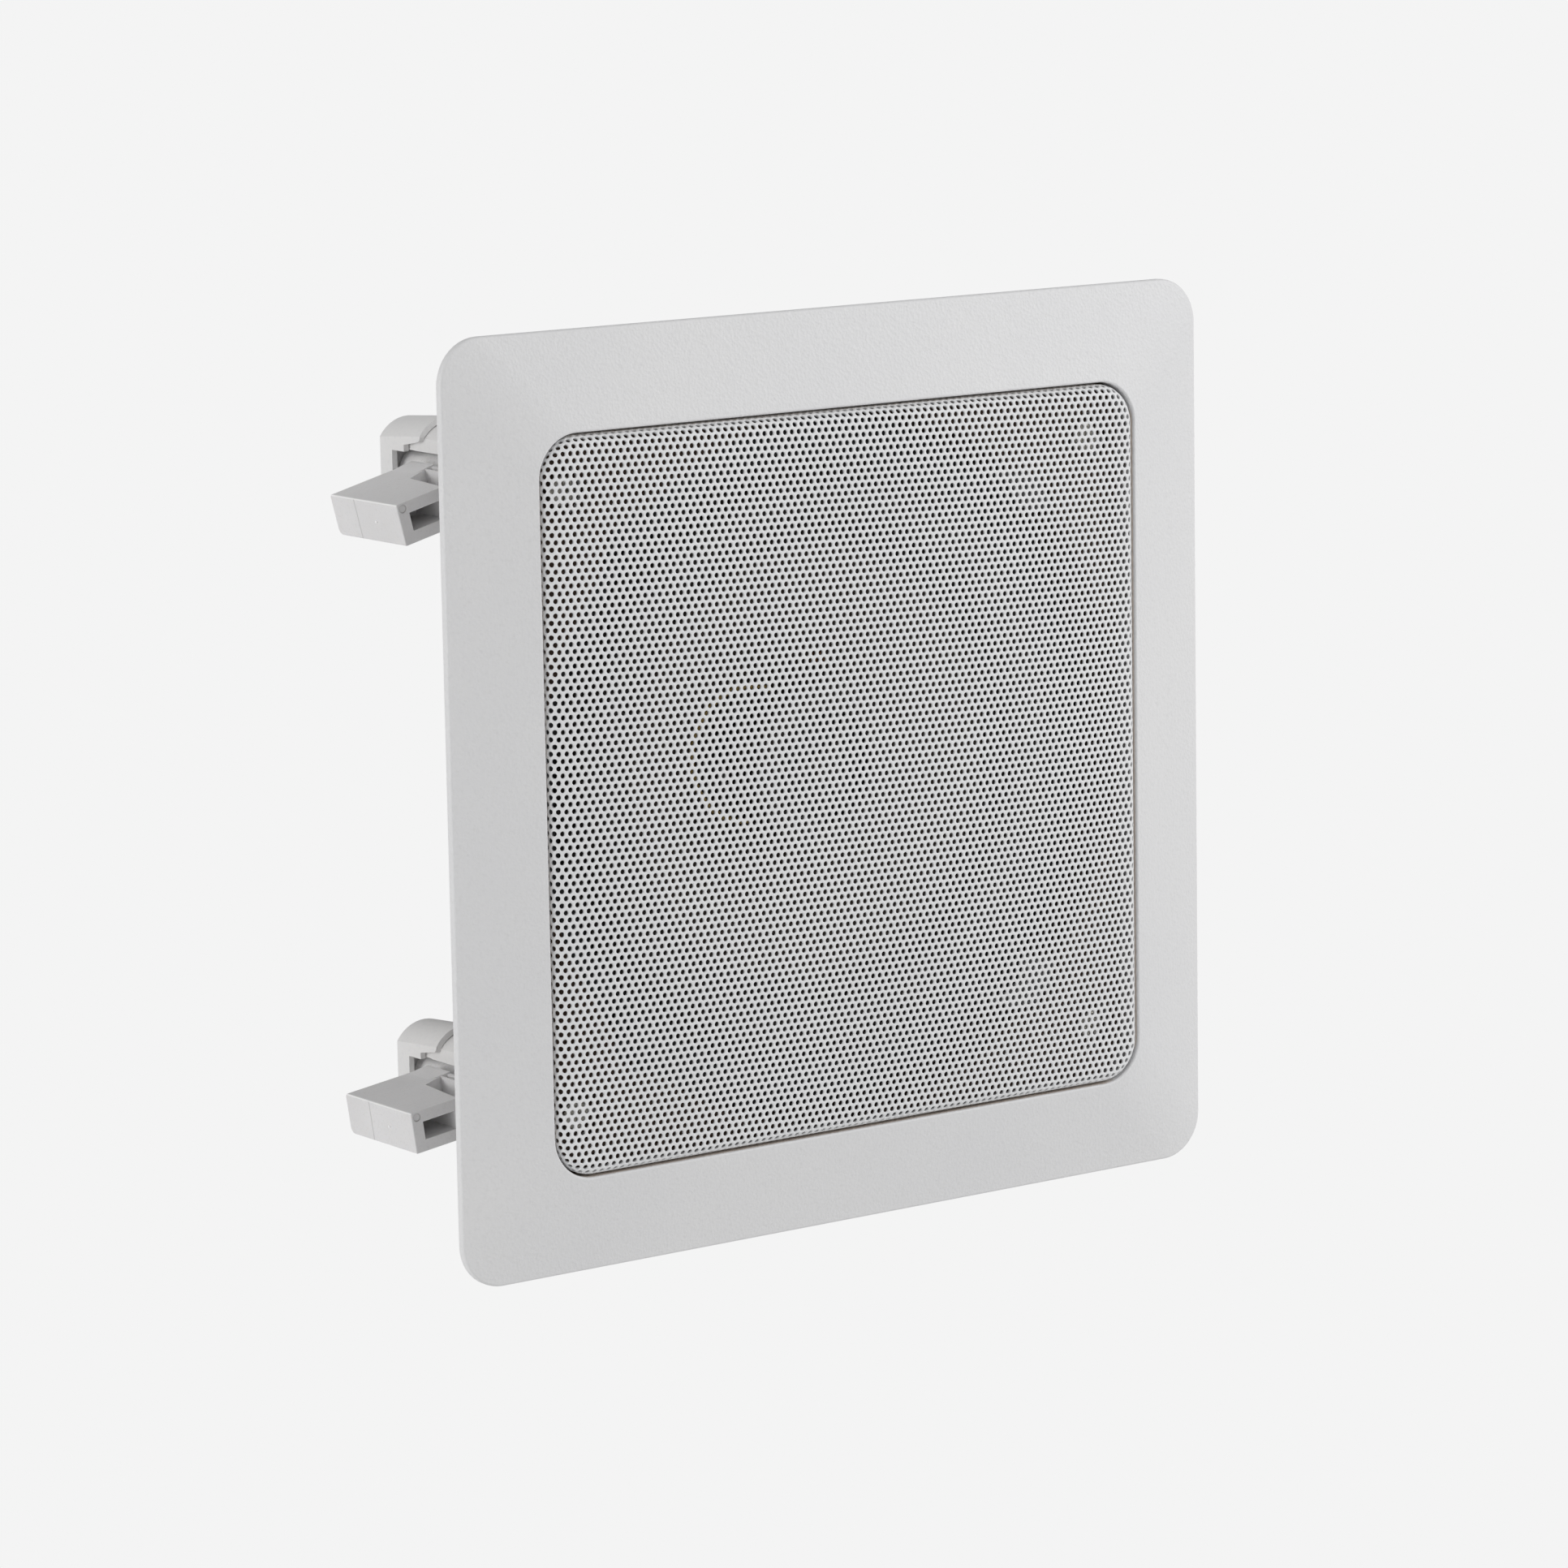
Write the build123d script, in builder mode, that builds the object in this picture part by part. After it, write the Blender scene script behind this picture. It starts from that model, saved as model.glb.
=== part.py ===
# Square in-ceiling speaker: moulded frame with four swing-out clamps, perforated grille, coaxial driver.
# Sizes are in millimetres. X runs right along the plate, Y runs from the room into the ceiling, Z is up.
# The origin is the centre of the flange, on the plane where it meets the ceiling board.
import math
import os

from build123d import *

os.makedirs("parts", exist_ok=True)

# Flange and opening
flange_side = 222.0
flange_corner = 11.0
rim_thickness = 1.75
rim_land = 4.0
rim_edge = 0.7
flange_wall = 1.8
lip_rise = 6.5
lip_edge = 0.5
opening_side = 175.2
opening_corner = 10.6

# Sleeve that enters the cut-out, and the baffle across it
sleeve_side = 181.0
sleeve_corner = 13.0
sleeve_wall = 2.4
sleeve_depth = 10.0
baffle_rise = 1.0
baffle_back = 1.5

# Recess that holds the driver
recess_radius = 86.3
recess_wall = 2.0
seat_depth = 13.0
seat_thickness = 2.0
seat_bore = 74.0
ear_offset = 56.5
ear_radius = 8.4
ear_clearance = 1.9
boss_radius = 4.2
boss_length = 9.5

# Grille pan
grille_gap = 0.6
grille_proud = 1.1
grille_crown = 3.36
crown_round = 0.32
crown_span = 1.05
crown_net = ((1, 1), (0, -1), (-1 / 3, 1), (0, -1), (1, 1))
grille_sheet = 0.8
grille_roll = 2.85
hole_pitch = 16.0
hole_radius = 4.68
hole_columns = 10
hole_row_pairs = 6

# Clamp stations: where the four clamp screws stand
clamp_inset_x = 13.0
clamp_inset_z = 16.9
pocket_radius = 6.3
pocket_floor = 2.0
pocket_wall = 1.7
floor_thickness = 2.0

# Clamp tower: a hood over the screw, and a larger cap that closes it
hood_half_width = 6.6
hood_radius = 8.1
hood_centre = 4.1
hood_foot = 5.6
hood_end = 51.9
spigot_gap = 0.3
spigot_end = 56.5
tower_wall = 1.4
cap_half_width = 8.0
cap_radius = 9.5
cap_centre = 3.0
cap_slope = 0.075
cap_front = 47.5
cap_end = 65.0
cap_foot = -8.0
end_wall = 2.2
window_end = 59.8
window_top = 5.3
window_step_end = 54.6
window_step_top = 6.9
window_step_rise = 1.0
cap_corner = 1.5

# Clamp screw
screw_radius = 2.0
screw_fit = 0.07
screw_head_radius = 3.75
screw_head_height = 2.6
screw_head_dome = 0.9
screw_tail = 0.6
cross_width = 1.1
cross_span = 4.4
cross_depth = 1.4
seat_gap = 0.05

# Clamp arm, drawn pointing towards -X with its screw axis through the origin
arm_reach = 30.5
arm_top = 5.0
arm_bottom = 5.0
arm_length = 28.9
arm_root = 7.1
root_rise = 0.4
root_rise_start = 13.0
hub_radius = 5.0
hub_length = 38.8
neck_top = 2.8
neck_bottom = 4.2
parting = 18.5
notch_floor = 1.0
notch_front = 17.2
notch_rear = 15.6
notch_corner = 16.3
notch_inner = 9.9
groove_outer = 9.4
groove_inner = 8.0
slot_outer = 27.5
slot_inner = 18.6
slot_top = 2.2
slot_bottom = 2.25
slot_depth = 12.0
arm_heel = 1.6
arm_brow = 0.8
arm_edge = 0.3
mark_radius = 0.95
mark_depth = 0.25
mark_inset = 1.6
mark_drop = 1.4
gate_radius = 0.35
gate_height = 0.2
gate_place = 10.5

# How the clamps stand at rest: droop of an arm in degrees, and how far its hub stands off the cap's end wall
steep_droop = 14.3
slight_droop = 8.2
long_slack = 1.3
short_slack = 0.4

# Driver basket, a steel pressing
rim_radius = 84.5
rim_front = 11.0
steel = 1.2
basket_bore = 69.0
basket_step = 20.0
ledge_radius = 51.5
ledge_inner = 44.5
ledge_depth = 37.0
floor_drop = 6.0
floor_bore = 16.5
window_count = 12
window_width = 19.0
window_inner = 54.0
window_outer = 67.0
window_round = 3.0
lug_width = 18.0
lug_reach = 58.0

# Gasket and driver screws
gasket_inner = 75.0
gasket_margin = 0.5
driver_hole = 2.3
driver_screw_radius = 1.9
driver_screw_length = 9.0
driver_head_radius = 3.8
driver_head_height = 2.3
thread_gap = 0.08

# Moving parts of the woofer
roll_radius = 6.3
roll_place = 63.7
rubber = 0.8
foot_width = 4.5
paper = 0.8
cone_edge = 56.9
cone_lip = 3.4
cone_bend_radius = 33.0
cone_bend_depth = 21.0
neck_rise = 3.8
former_inner = 12.8
former_wall = 0.3
former_lead = 1.2
former_tail = 0.5
glue_gap = 0.05
coil_wall = 0.4
coil_length = 12.0
spider_cloth = 0.5
spider_waves = 8
spider_wave = 1.1
spider_collar = 2.0
eyelet_radius = 2.0
eyelet_height = 0.9
eyelet_place = 0.66
eyelet_angles = (61.0, -50.0)
eyelet_gap = 0.1

# Motor
top_plate_thickness = 6.0
top_plate_radius = 40.0
coil_gap = 0.5
magnet_radius = 45.0
magnet_bore = 20.0
magnet_thickness = 15.0
back_plate_thickness = 6.0
pole_radius = 12.3
pole_bore = 4.05
pole_lift = 0.6

# Tweeter
post_radius = 6.0
spigot_radius = 4.0
spigot_length = 14.0
tweeter_radius = 20.3
tweeter_front = 4.2
tweeter_back = 17.0
tweeter_wall = 2.0
tweeter_lip = 14.0
tweeter_lip_back = 6.6
guard_ledge = 15.6
guard_sheet = 0.9
guard_gap = 0.1
guard_disc = 4.0
guard_spoke = 1.6
dome_radius = 9.6
dome_front = 6.6
dome_base = 10.2
dome_sheet = 0.35
tweeter_skirt = 13.0
tweeter_roll = 0.9
tweeter_coil_wall = 0.35
tweeter_coil_back = 12.8
tweeter_pole_radius = 9.1
tweeter_pole_front = 10.9
tweeter_pole_thickness = 1.3
tweeter_magnet_radius = 8.6
tweeter_plate_bore = 10.5
tweeter_plate_front = 10.6
tweeter_plate_gap = 0.5
yoke_floor = 1.0
lead_radius = 0.7
lead_loop = 16.3
lead_x = -18.0
lead_z = 4.2
lead_depth = 11.5
lead_gap = 0.2

# Terminals and crossover
board_width = 24.0
board_inner = 47.0
board_outer = 63.0
board_thickness = 1.6
tab_width = 4.8
tab_thickness = 0.8
tab_spacing = 13.0
tab_inner = 57.0
tab_outer = 72.0
capacitor_radius = 4.5
capacitor_length = 17.0
capacitor_place = 51.0
capacitor_gap = 0.1
wire_radius = 0.4
wire_run = 2.5
capacitor_edge = 1.0
tinsel_radius = 0.6
tinsel_spread = 6.5
tinsel_rise = 3.2
tinsel_end_gap = 0.6
tinsel_bend = 6.0

# Values worked out from those above
flange_slope = (lip_rise - rim_thickness) / ((flange_side - opening_side) / 2)
hollow_side = flange_side - 2 * rim_land
hollow_start = rim_thickness + rim_land * flange_slope - flange_wall
sleeve_face = rim_thickness + (flange_side - sleeve_side) / 2 * flange_slope
seat_back = seat_depth + seat_thickness
grille_side = opening_side - 2 * grille_gap
grille_corner = opening_corner - grille_gap
grille_front = lip_rise + grille_proud
hole_row = hole_pitch * math.sqrt(3) / 2
ear_points = [(x, z) for x in (-ear_offset, ear_offset) for z in (-ear_offset, ear_offset)]
screw_bore = screw_radius + screw_fit
rim_back = rim_front + steel
basket_floor = ledge_depth + floor_drop
top_plate_front = basket_floor + steel
magnet_front = top_plate_front + top_plate_thickness
back_plate_front = magnet_front + magnet_thickness
pole_front = top_plate_front - pole_lift
neck_depth = ledge_depth - neck_rise
tinsel_turn = neck_depth - tinsel_rise
former_outer = former_inner + former_wall
coil_outer = former_outer + glue_gap + coil_wall
coil_front = top_plate_front + (top_plate_thickness - coil_length) / 2
coil_back = coil_front + coil_length
former_front = neck_depth - former_lead
former_back = coil_back + former_tail

# The clamps at rest: side, height, droop, and depth of the gripping face
clamp_x = sleeve_side / 2 - clamp_inset_x
clamp_z = sleeve_side / 2 - clamp_inset_z
arm_stop = cap_end - end_wall - hub_length
clamps = {
    "upper_left": (-1, 1, steep_droop, arm_stop - long_slack),
    "lower_left": (-1, -1, slight_droop, arm_stop - short_slack),
    "upper_right": (1, 1, 0, arm_stop - short_slack),
    "lower_right": (1, -1, 0, arm_stop - long_slack),
}
clamp_points = [(side * clamp_x, height * clamp_z) for side, height, droop, depth in clamps.values()]


# A sketch plane at a depth behind the ceiling plane, facing the room, with X right and Z up
def level(depth):
    return Plane.XZ.offset(-depth)


# The driver's outline: a disc with four screw ears
def driver_outline(radius, ear):
    Circle(radius)
    with Locations(*ear_points):
        Circle(ear)


# A round-topped profile that stands on two straight sides
def arch(half_width, radius, centre, foot):
    spring = centre + math.sqrt(radius**2 - half_width**2)
    with BuildSketch(mode=Mode.PRIVATE) as outline:
        with BuildLine():
            Line((half_width, foot), (-half_width, foot))
            Line((-half_width, foot), (-half_width, spring))
            ThreePointArc((-half_width, spring), (0, centre + radius), (half_width, spring))
            Line((half_width, spring), (half_width, foot))
        make_face()
    return outline.sketch


# Height of the cap's arc centre: the roof rises a little towards the flange
def cap_centre_at(depth):
    return cap_centre + cap_slope * (cap_end - depth)


def save(piece, name):
    piece.part.label = name
    export_step(piece.part, f"parts/{name}.step")


# A surface that is crowned in the middle and level along the grille's four edges. Across the grille the rise
# falls off as 1 - round * u2 - (1 - round) * u4, where u is 1 at the edge; the net gives the control points.
def crown_surface(depth):
    half = crown_span * grille_side / 2
    places = [half * (step - 2) / 2 for step in range(len(crown_net))]
    rises = []
    for square, fourth in crown_net:
        rises.append(1 - crown_round * crown_span**2 * square - (1 - crown_round) * crown_span**4 * fourth)
    rows = []
    for x, rise_x in zip(places, rises):
        rows.append([(x, depth - grille_crown * rise_x * rise_z, z) for z, rise_z in zip(places, rises)])
    return Face.make_bezier_surface(rows)


# Clamp tower, in the clamp's own frame: the screw axis is Y, the arm swings out at -X
with BuildPart() as tower:
    with BuildSketch(level(cap_end)):
        add(arch(cap_half_width, cap_radius, cap_centre_at(cap_end), cap_foot))
    with BuildSketch(level(cap_front)):
        add(arch(cap_half_width, cap_radius, cap_centre_at(cap_front), cap_foot))
    loft(ruled=True)
    cap_inner = (cap_half_width - tower_wall, cap_radius - tower_wall)
    with BuildSketch(level(cap_end - end_wall)):
        add(arch(*cap_inner, cap_centre_at(cap_end - end_wall), cap_foot - tower_wall))
    with BuildSketch(level(cap_front)):
        add(arch(*cap_inner, cap_centre_at(cap_front), cap_foot - tower_wall))
    loft(ruled=True, mode=Mode.SUBTRACT)
    # Windows in both sides, with the step in their upper edge and a rounded corner on the cap
    corner_foot = window_step_top + window_step_rise
    corner_mid = cap_corner * (1 - math.sqrt(1 / 2))
    with BuildSketch(Plane.YZ) as window:
        with BuildLine():
            Polyline(
                (cap_front, corner_foot + cap_corner),
                (cap_front, cap_foot),
                (window_end, cap_foot),
                (window_end, window_top),
                (window_step_end, window_top),
                (window_step_end, window_step_top),
                (cap_front + cap_corner, corner_foot),
            )
            ThreePointArc(
                (cap_front + cap_corner, corner_foot),
                (cap_front + corner_mid, corner_foot + corner_mid),
                (cap_front, corner_foot + cap_corner),
            )
        make_face()
    extrude(amount=cap_half_width, both=True, mode=Mode.SUBTRACT)
    with BuildSketch(level(cap_end)):
        Circle(screw_bore)
    extrude(amount=end_wall, mode=Mode.SUBTRACT)
    # The hood runs from the baffle to inside the cap, and ends in a thinner spigot
    hood_inner = arch(hood_half_width - tower_wall, hood_radius - tower_wall, hood_centre, hood_foot - tower_wall)
    with BuildSketch(level(hood_end)):
        add(arch(hood_half_width, hood_radius, hood_centre, hood_foot))
        add(hood_inner, mode=Mode.SUBTRACT)
    extrude(amount=hood_end)
    with BuildSketch(level(spigot_end)):
        add(arch(hood_half_width - spigot_gap, hood_radius - spigot_gap, hood_centre, hood_foot))
        add(hood_inner, mode=Mode.SUBTRACT)
    extrude(amount=spigot_end - hood_end)
    with BuildSketch(level(pocket_floor + floor_thickness)):
        Circle(pocket_radius + pocket_wall)
    extrude(amount=pocket_floor + floor_thickness)

# Frame: one moulding
with BuildPart() as frame:
    with BuildSketch(level(0)):
        RectangleRounded(flange_side, flange_side, flange_corner)
    extrude(amount=rim_thickness)
    with BuildSketch(level(-rim_thickness)):
        RectangleRounded(flange_side, flange_side, flange_corner)
    with BuildSketch(level(-lip_rise)):
        RectangleRounded(opening_side, opening_side, opening_corner)
    loft(ruled=True)
    # Hollow back of the flange
    with BuildSketch(level(0)):
        RectangleRounded(hollow_side, hollow_side, flange_corner - rim_land)
    extrude(amount=hollow_start, mode=Mode.SUBTRACT)
    with BuildSketch(level(-hollow_start)):
        RectangleRounded(hollow_side, hollow_side, flange_corner - rim_land)
    with BuildSketch(level(flange_wall - sleeve_face)):
        RectangleRounded(sleeve_side, sleeve_side, sleeve_corner)
    loft(ruled=True, mode=Mode.SUBTRACT)
    # Sleeve and baffle
    with BuildSketch(level(sleeve_depth)):
        RectangleRounded(sleeve_side, sleeve_side, sleeve_corner)
    extrude(amount=sleeve_depth + sleeve_face - flange_wall / 2)
    with BuildSketch(level(-baffle_rise)):
        RectangleRounded(opening_side, opening_side, opening_corner)
    extrude(amount=lip_rise, mode=Mode.SUBTRACT)
    with BuildSketch(level(sleeve_depth)):
        inner_side = sleeve_side - 2 * sleeve_wall
        RectangleRounded(inner_side, inner_side, sleeve_corner - sleeve_wall)
    extrude(amount=sleeve_depth - baffle_back, mode=Mode.SUBTRACT)
    # Driver recess with its seat and screw bosses
    with BuildSketch(level(seat_back)):
        driver_outline(recess_radius + recess_wall, ear_radius + ear_clearance + recess_wall)
    extrude(amount=seat_back)
    with BuildSketch(level(seat_depth)):
        driver_outline(recess_radius, ear_radius + ear_clearance)
    extrude(amount=seat_depth + baffle_rise, mode=Mode.SUBTRACT)
    with BuildSketch(level(seat_back)):
        Circle(seat_bore)
    extrude(amount=seat_thickness, mode=Mode.SUBTRACT)
    with BuildSketch(level(seat_depth + boss_length)):
        with Locations(*ear_points):
            Circle(boss_radius)
    extrude(amount=boss_length)
    with BuildSketch(level(seat_depth + boss_length)):
        with Locations(*ear_points):
            Circle(driver_screw_radius + thread_gap)
    extrude(amount=boss_length, mode=Mode.SUBTRACT)
    # Clamp towers: the right-hand pair are the left-hand pair turned half a turn about Y
    for side, height, droop, depth in clamps.values():
        with Locations(Location((side * clamp_x, 0, height * clamp_z), (0, 90 + side * 90, 0))):
            add(tower.part)
    # Screw pockets in the front of the baffle
    with BuildSketch(level(pocket_floor)):
        with Locations(*clamp_points):
            Circle(pocket_radius)
    extrude(amount=pocket_floor + baffle_rise, mode=Mode.SUBTRACT)
    with BuildSketch(level(pocket_floor + floor_thickness)):
        with Locations(*clamp_points):
            Circle(screw_bore)
    extrude(amount=floor_thickness, mode=Mode.SUBTRACT)
    # Rounded lip and rim
    front_edges = frame.edges().group_by(Axis.Y)[0]
    fillet(front_edges, lip_edge)
    rim_edges = [
        edge
        for edge in frame.edges().filter_by_position(Axis.Y, -rim_thickness, -rim_thickness)
        if max(abs(edge.center().X), abs(edge.center().Z)) > flange_side / 2 - flange_corner
    ]
    fillet(rim_edges, rim_edge)
save(frame, "frame")

# Grille: one pressed sheet, a little crowned, with a rolled edge
grille_shells = []
for inset in (0, grille_sheet):
    with BuildPart() as shell:
        with BuildSketch(level(-baffle_rise)):
            RectangleRounded(grille_side - 2 * inset, grille_side - 2 * inset, grille_corner - inset)
        extrude(amount=grille_front + grille_crown)
        crown = crown_surface(inset - grille_front)
        extrude(to_extrude=crown, amount=grille_front + grille_crown, dir=(0, 1, 0), mode=Mode.INTERSECT)
        fillet(shell.faces().sort_by(Axis.Y)[0].edges(), grille_roll - inset)
    grille_shells.append(shell.part)

with BuildPart() as grille:
    add(grille_shells[0])
    add(grille_shells[1], mode=Mode.SUBTRACT)
    with BuildSketch(level(-baffle_rise)):
        with Locations((0, hole_row / 2)):
            with GridLocations(hole_pitch, 2 * hole_row, hole_columns, hole_row_pairs):
                Circle(hole_radius)
        with Locations((0, -hole_row / 2)):
            with GridLocations(hole_pitch, 2 * hole_row, hole_columns - 1, hole_row_pairs):
                Circle(hole_radius)
    extrude(amount=grille_front + grille_crown, mode=Mode.SUBTRACT)
save(grille, "grille")

# Clamp arm, in the clamp's own frame
with BuildPart() as arm:
    with BuildSketch(level(arm_length)):
        with Locations(((-arm_reach - arm_root) / 2, (arm_top - arm_bottom) / 2)):
            Rectangle(arm_reach - arm_root, arm_top + arm_bottom)
    extrude(amount=arm_length)
    heel = arm.edges().filter_by(Axis.X).group_by(Axis.Z)[0].sort_by(Axis.Y)[-1]
    fillet(heel, arm_heel)
    brow = arm.edges().filter_by(Axis.X).group_by(Axis.Z)[-1].sort_by(Axis.Y)[-1]
    fillet(brow, arm_brow)
    fillet(arm.faces().sort_by(Axis.X)[0].edges(), arm_edge)
    # Behind the parting line the top rises a little towards the hub
    with BuildSketch(level(arm_length - arm_brow)):
        Polygon(
            (-root_rise_start, arm_top),
            (-arm_root, arm_top),
            (-arm_root, arm_top + root_rise),
            align=None,
        )
    extrude(amount=arm_length - arm_brow - parting)
    with BuildSketch(level(arm_length)):
        with Locations((-arm_root / 2, (neck_top - neck_bottom) / 2)):
            Rectangle(arm_root, neck_top + neck_bottom)
    extrude(amount=arm_length)
    # Notch and groove in the top, from the gripping face back to the parting line, with a thin rib between them
    with BuildSketch(Plane.XY.offset(arm_top)):
        Polygon(
            (-notch_inner, 0),
            (-notch_inner, parting),
            (-notch_rear, notch_corner),
            (-notch_front, 0),
            align=None,
        )
    extrude(amount=notch_floor - arm_top, mode=Mode.SUBTRACT)
    with BuildSketch(Plane.XY.offset(arm_top)):
        Polygon(
            (-groove_inner, 0),
            (-groove_inner, parting),
            (-groove_outer, parting),
            (-groove_outer, 0),
            align=None,
        )
    extrude(amount=neck_top - arm_top, mode=Mode.SUBTRACT)
    # Core slot in the gripping face
    with BuildSketch(level(slot_depth)):
        with Locations((-(slot_outer + slot_inner) / 2, (slot_top - slot_bottom) / 2)):
            Rectangle(slot_outer - slot_inner, slot_top + slot_bottom)
    extrude(amount=slot_depth, mode=Mode.SUBTRACT)
    # Ejector mark, gate mark, hub and screw bore
    with BuildSketch(level(mark_depth)):
        with Locations((-arm_reach + mark_inset, arm_top - mark_drop)):
            Circle(mark_radius)
    extrude(amount=mark_depth, mode=Mode.SUBTRACT)
    with BuildSketch(Plane.YZ.offset(-arm_reach - gate_height)):
        with Locations((gate_place, 0)):
            Circle(gate_radius)
    extrude(amount=2 * gate_height)
    with BuildSketch(level(hub_length)):
        Circle(hub_radius)
    extrude(amount=hub_length)
    with BuildSketch(level(hub_length)):
        Circle(screw_bore)
    extrude(amount=hub_length, mode=Mode.SUBTRACT)

# Clamp screw, in the clamp's own frame
with BuildPart() as screw:
    head_back = pocket_floor - seat_gap
    head_front = head_back - screw_head_height
    with BuildSketch(level(head_back)):
        Circle(screw_head_radius)
    extrude(amount=screw_head_height)
    fillet(screw.faces().sort_by(Axis.Y)[0].edges(), screw_head_dome)
    with BuildSketch(level(head_front + cross_depth)):
        Rectangle(cross_span, cross_width)
        Rectangle(cross_width, cross_span)
    extrude(amount=cross_depth, mode=Mode.SUBTRACT)
    with BuildSketch(level(cap_end - screw_tail)):
        Circle(screw_radius)
    extrude(amount=cap_end - screw_tail - head_back)
    fillet(screw.faces().sort_by(Axis.Y)[-1].edges(), screw_tail)

for name, (side, height, droop, depth) in clamps.items():
    turn = 90 + side * 90 - droop
    with BuildPart() as clamp_arm:
        with Locations(Location((side * clamp_x, depth, height * clamp_z), (0, turn, 0))):
            add(arm.part)
    save(clamp_arm, f"clamp_arm_{name}")
    with BuildPart() as clamp_screw:
        with Locations(Location((side * clamp_x, 0, height * clamp_z), (0, turn, 0))):
            add(screw.part)
    save(clamp_screw, f"clamp_screw_{name}")

# Driver basket
with BuildPart() as driver_basket:
    wall_run = math.hypot(basket_bore - ledge_radius, ledge_depth - basket_step)
    wall_shift = steel * (basket_bore - ledge_radius) / (wall_run + ledge_depth - basket_step)
    with BuildSketch(Plane.XY):
        Polygon(
            (rim_radius, rim_front),
            (basket_bore, rim_front),
            (basket_bore, basket_step),
            (ledge_radius, ledge_depth),
            (ledge_inner, ledge_depth),
            (ledge_inner, basket_floor),
            (floor_bore, basket_floor),
            (floor_bore, top_plate_front),
            (ledge_inner + steel, top_plate_front),
            (ledge_inner + steel, ledge_depth + steel),
            (ledge_radius + wall_shift, ledge_depth + steel),
            (basket_bore + steel, basket_step + wall_shift),
            (basket_bore + steel, rim_back),
            (rim_radius, rim_back),
            align=None,
        )
    revolve(axis=Axis.Y)
    with BuildSketch(level(rim_back)):
        with Locations(*ear_points):
            Circle(ear_radius)
    extrude(amount=steel)
    with BuildSketch(level(rim_back)):
        with Locations(*ear_points):
            Circle(driver_hole)
    extrude(amount=steel, mode=Mode.SUBTRACT)
    with BuildSketch(level(ledge_depth)):
        with PolarLocations((window_inner + window_outer) / 2, window_count):
            RectangleRounded(window_outer - window_inner, window_width, window_round)
    extrude(amount=ledge_depth - rim_back, mode=Mode.SUBTRACT)
    # Lug that carries the terminal board
    with BuildSketch(level(top_plate_front)):
        with Locations(((ledge_inner + lug_reach) / 2, 0)):
            Rectangle(lug_reach - ledge_inner, lug_width)
    extrude(amount=steel)
save(driver_basket, "driver_basket")

with BuildPart() as driver_gasket:
    with BuildSketch(level(seat_depth)):
        Circle(rim_radius - gasket_margin)
        Circle(gasket_inner, mode=Mode.SUBTRACT)
        with Locations(*ear_points):
            Circle(driver_hole, mode=Mode.SUBTRACT)
    extrude(amount=seat_depth - rim_back)
save(driver_gasket, "driver_gasket")

with BuildPart() as driver_screws:
    with BuildSketch(level(rim_front)):
        with Locations(*ear_points):
            Circle(driver_head_radius)
    extrude(amount=driver_head_height)
    fillet(driver_screws.faces().group_by(Axis.Y)[0].edges(), screw_head_dome)
    with BuildSketch(level(rim_front - driver_head_height + cross_depth)):
        with Locations(*ear_points):
            Rectangle(cross_span, cross_width)
            Rectangle(cross_width, cross_span)
    extrude(amount=cross_depth, mode=Mode.SUBTRACT)
    with BuildSketch(level(rim_front + driver_screw_length)):
        with Locations(*ear_points):
            Circle(driver_screw_radius)
    extrude(amount=driver_screw_length)
save(driver_screws, "driver_screws")

# Surround: a half roll between two flat feet, glued to the rim and to the cone's edge
with BuildPart() as woofer_surround:
    with BuildSketch(Plane.XY):
        with Locations((roll_place, rim_front - rubber / 2)):
            Circle(roll_radius + rubber / 2)
            Circle(roll_radius - rubber / 2, mode=Mode.SUBTRACT)
        with Locations((roll_place, rim_front - rubber / 2)):
            Rectangle(3 * roll_radius, 2 * roll_radius, align=(Align.CENTER, Align.MIN), mode=Mode.SUBTRACT)
        for sign in (-1, 1):
            foot_align = Align.MIN if sign > 0 else Align.MAX
            with Locations((roll_place + sign * (roll_radius - rubber / 2), rim_front)):
                Rectangle(foot_width, rubber, align=(foot_align, Align.MAX))
    revolve(axis=Axis.Y)
save(woofer_surround, "woofer_surround")

# Cone: a shallow curved paper horn with a flat edge under the surround's inner foot
with BuildPart() as woofer_cone:
    neck_radius = former_outer + glue_gap
    lip_radius = cone_edge - cone_lip
    with BuildSketch(Plane.XY):
        with BuildLine():
            Line((cone_edge, rim_front + paper), (cone_edge, rim_front))
            Line((cone_edge, rim_front), (lip_radius, rim_front))
            cone_face = ThreePointArc(
                (lip_radius, rim_front), (cone_bend_radius, cone_bend_depth), (neck_radius, neck_depth)
            )
            Line((neck_radius, neck_depth), (neck_radius, neck_depth + paper))
            ThreePointArc(
                (neck_radius, neck_depth + paper),
                (cone_bend_radius, cone_bend_depth + paper),
                (lip_radius, rim_front + paper),
            )
            Line((lip_radius, rim_front + paper), (cone_edge, rim_front + paper))
        make_face()
    revolve(axis=Axis.Y)
save(woofer_cone, "woofer_cone")

with BuildPart() as voice_coil_former:
    with BuildSketch(Plane.XY):
        Polygon(
            (former_inner, former_front),
            (former_outer, former_front),
            (former_outer, former_back),
            (former_inner, former_back),
            align=None,
        )
    revolve(axis=Axis.Y)
save(voice_coil_former, "voice_coil_former")

with BuildPart() as voice_coil:
    coil_inner = former_outer + glue_gap
    with BuildSketch(Plane.XY):
        Polygon(
            (coil_inner, coil_front),
            (coil_outer, coil_front),
            (coil_outer, coil_back),
            (coil_inner, coil_back),
            align=None,
        )
    revolve(axis=Axis.Y)
save(voice_coil, "voice_coil")

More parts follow.
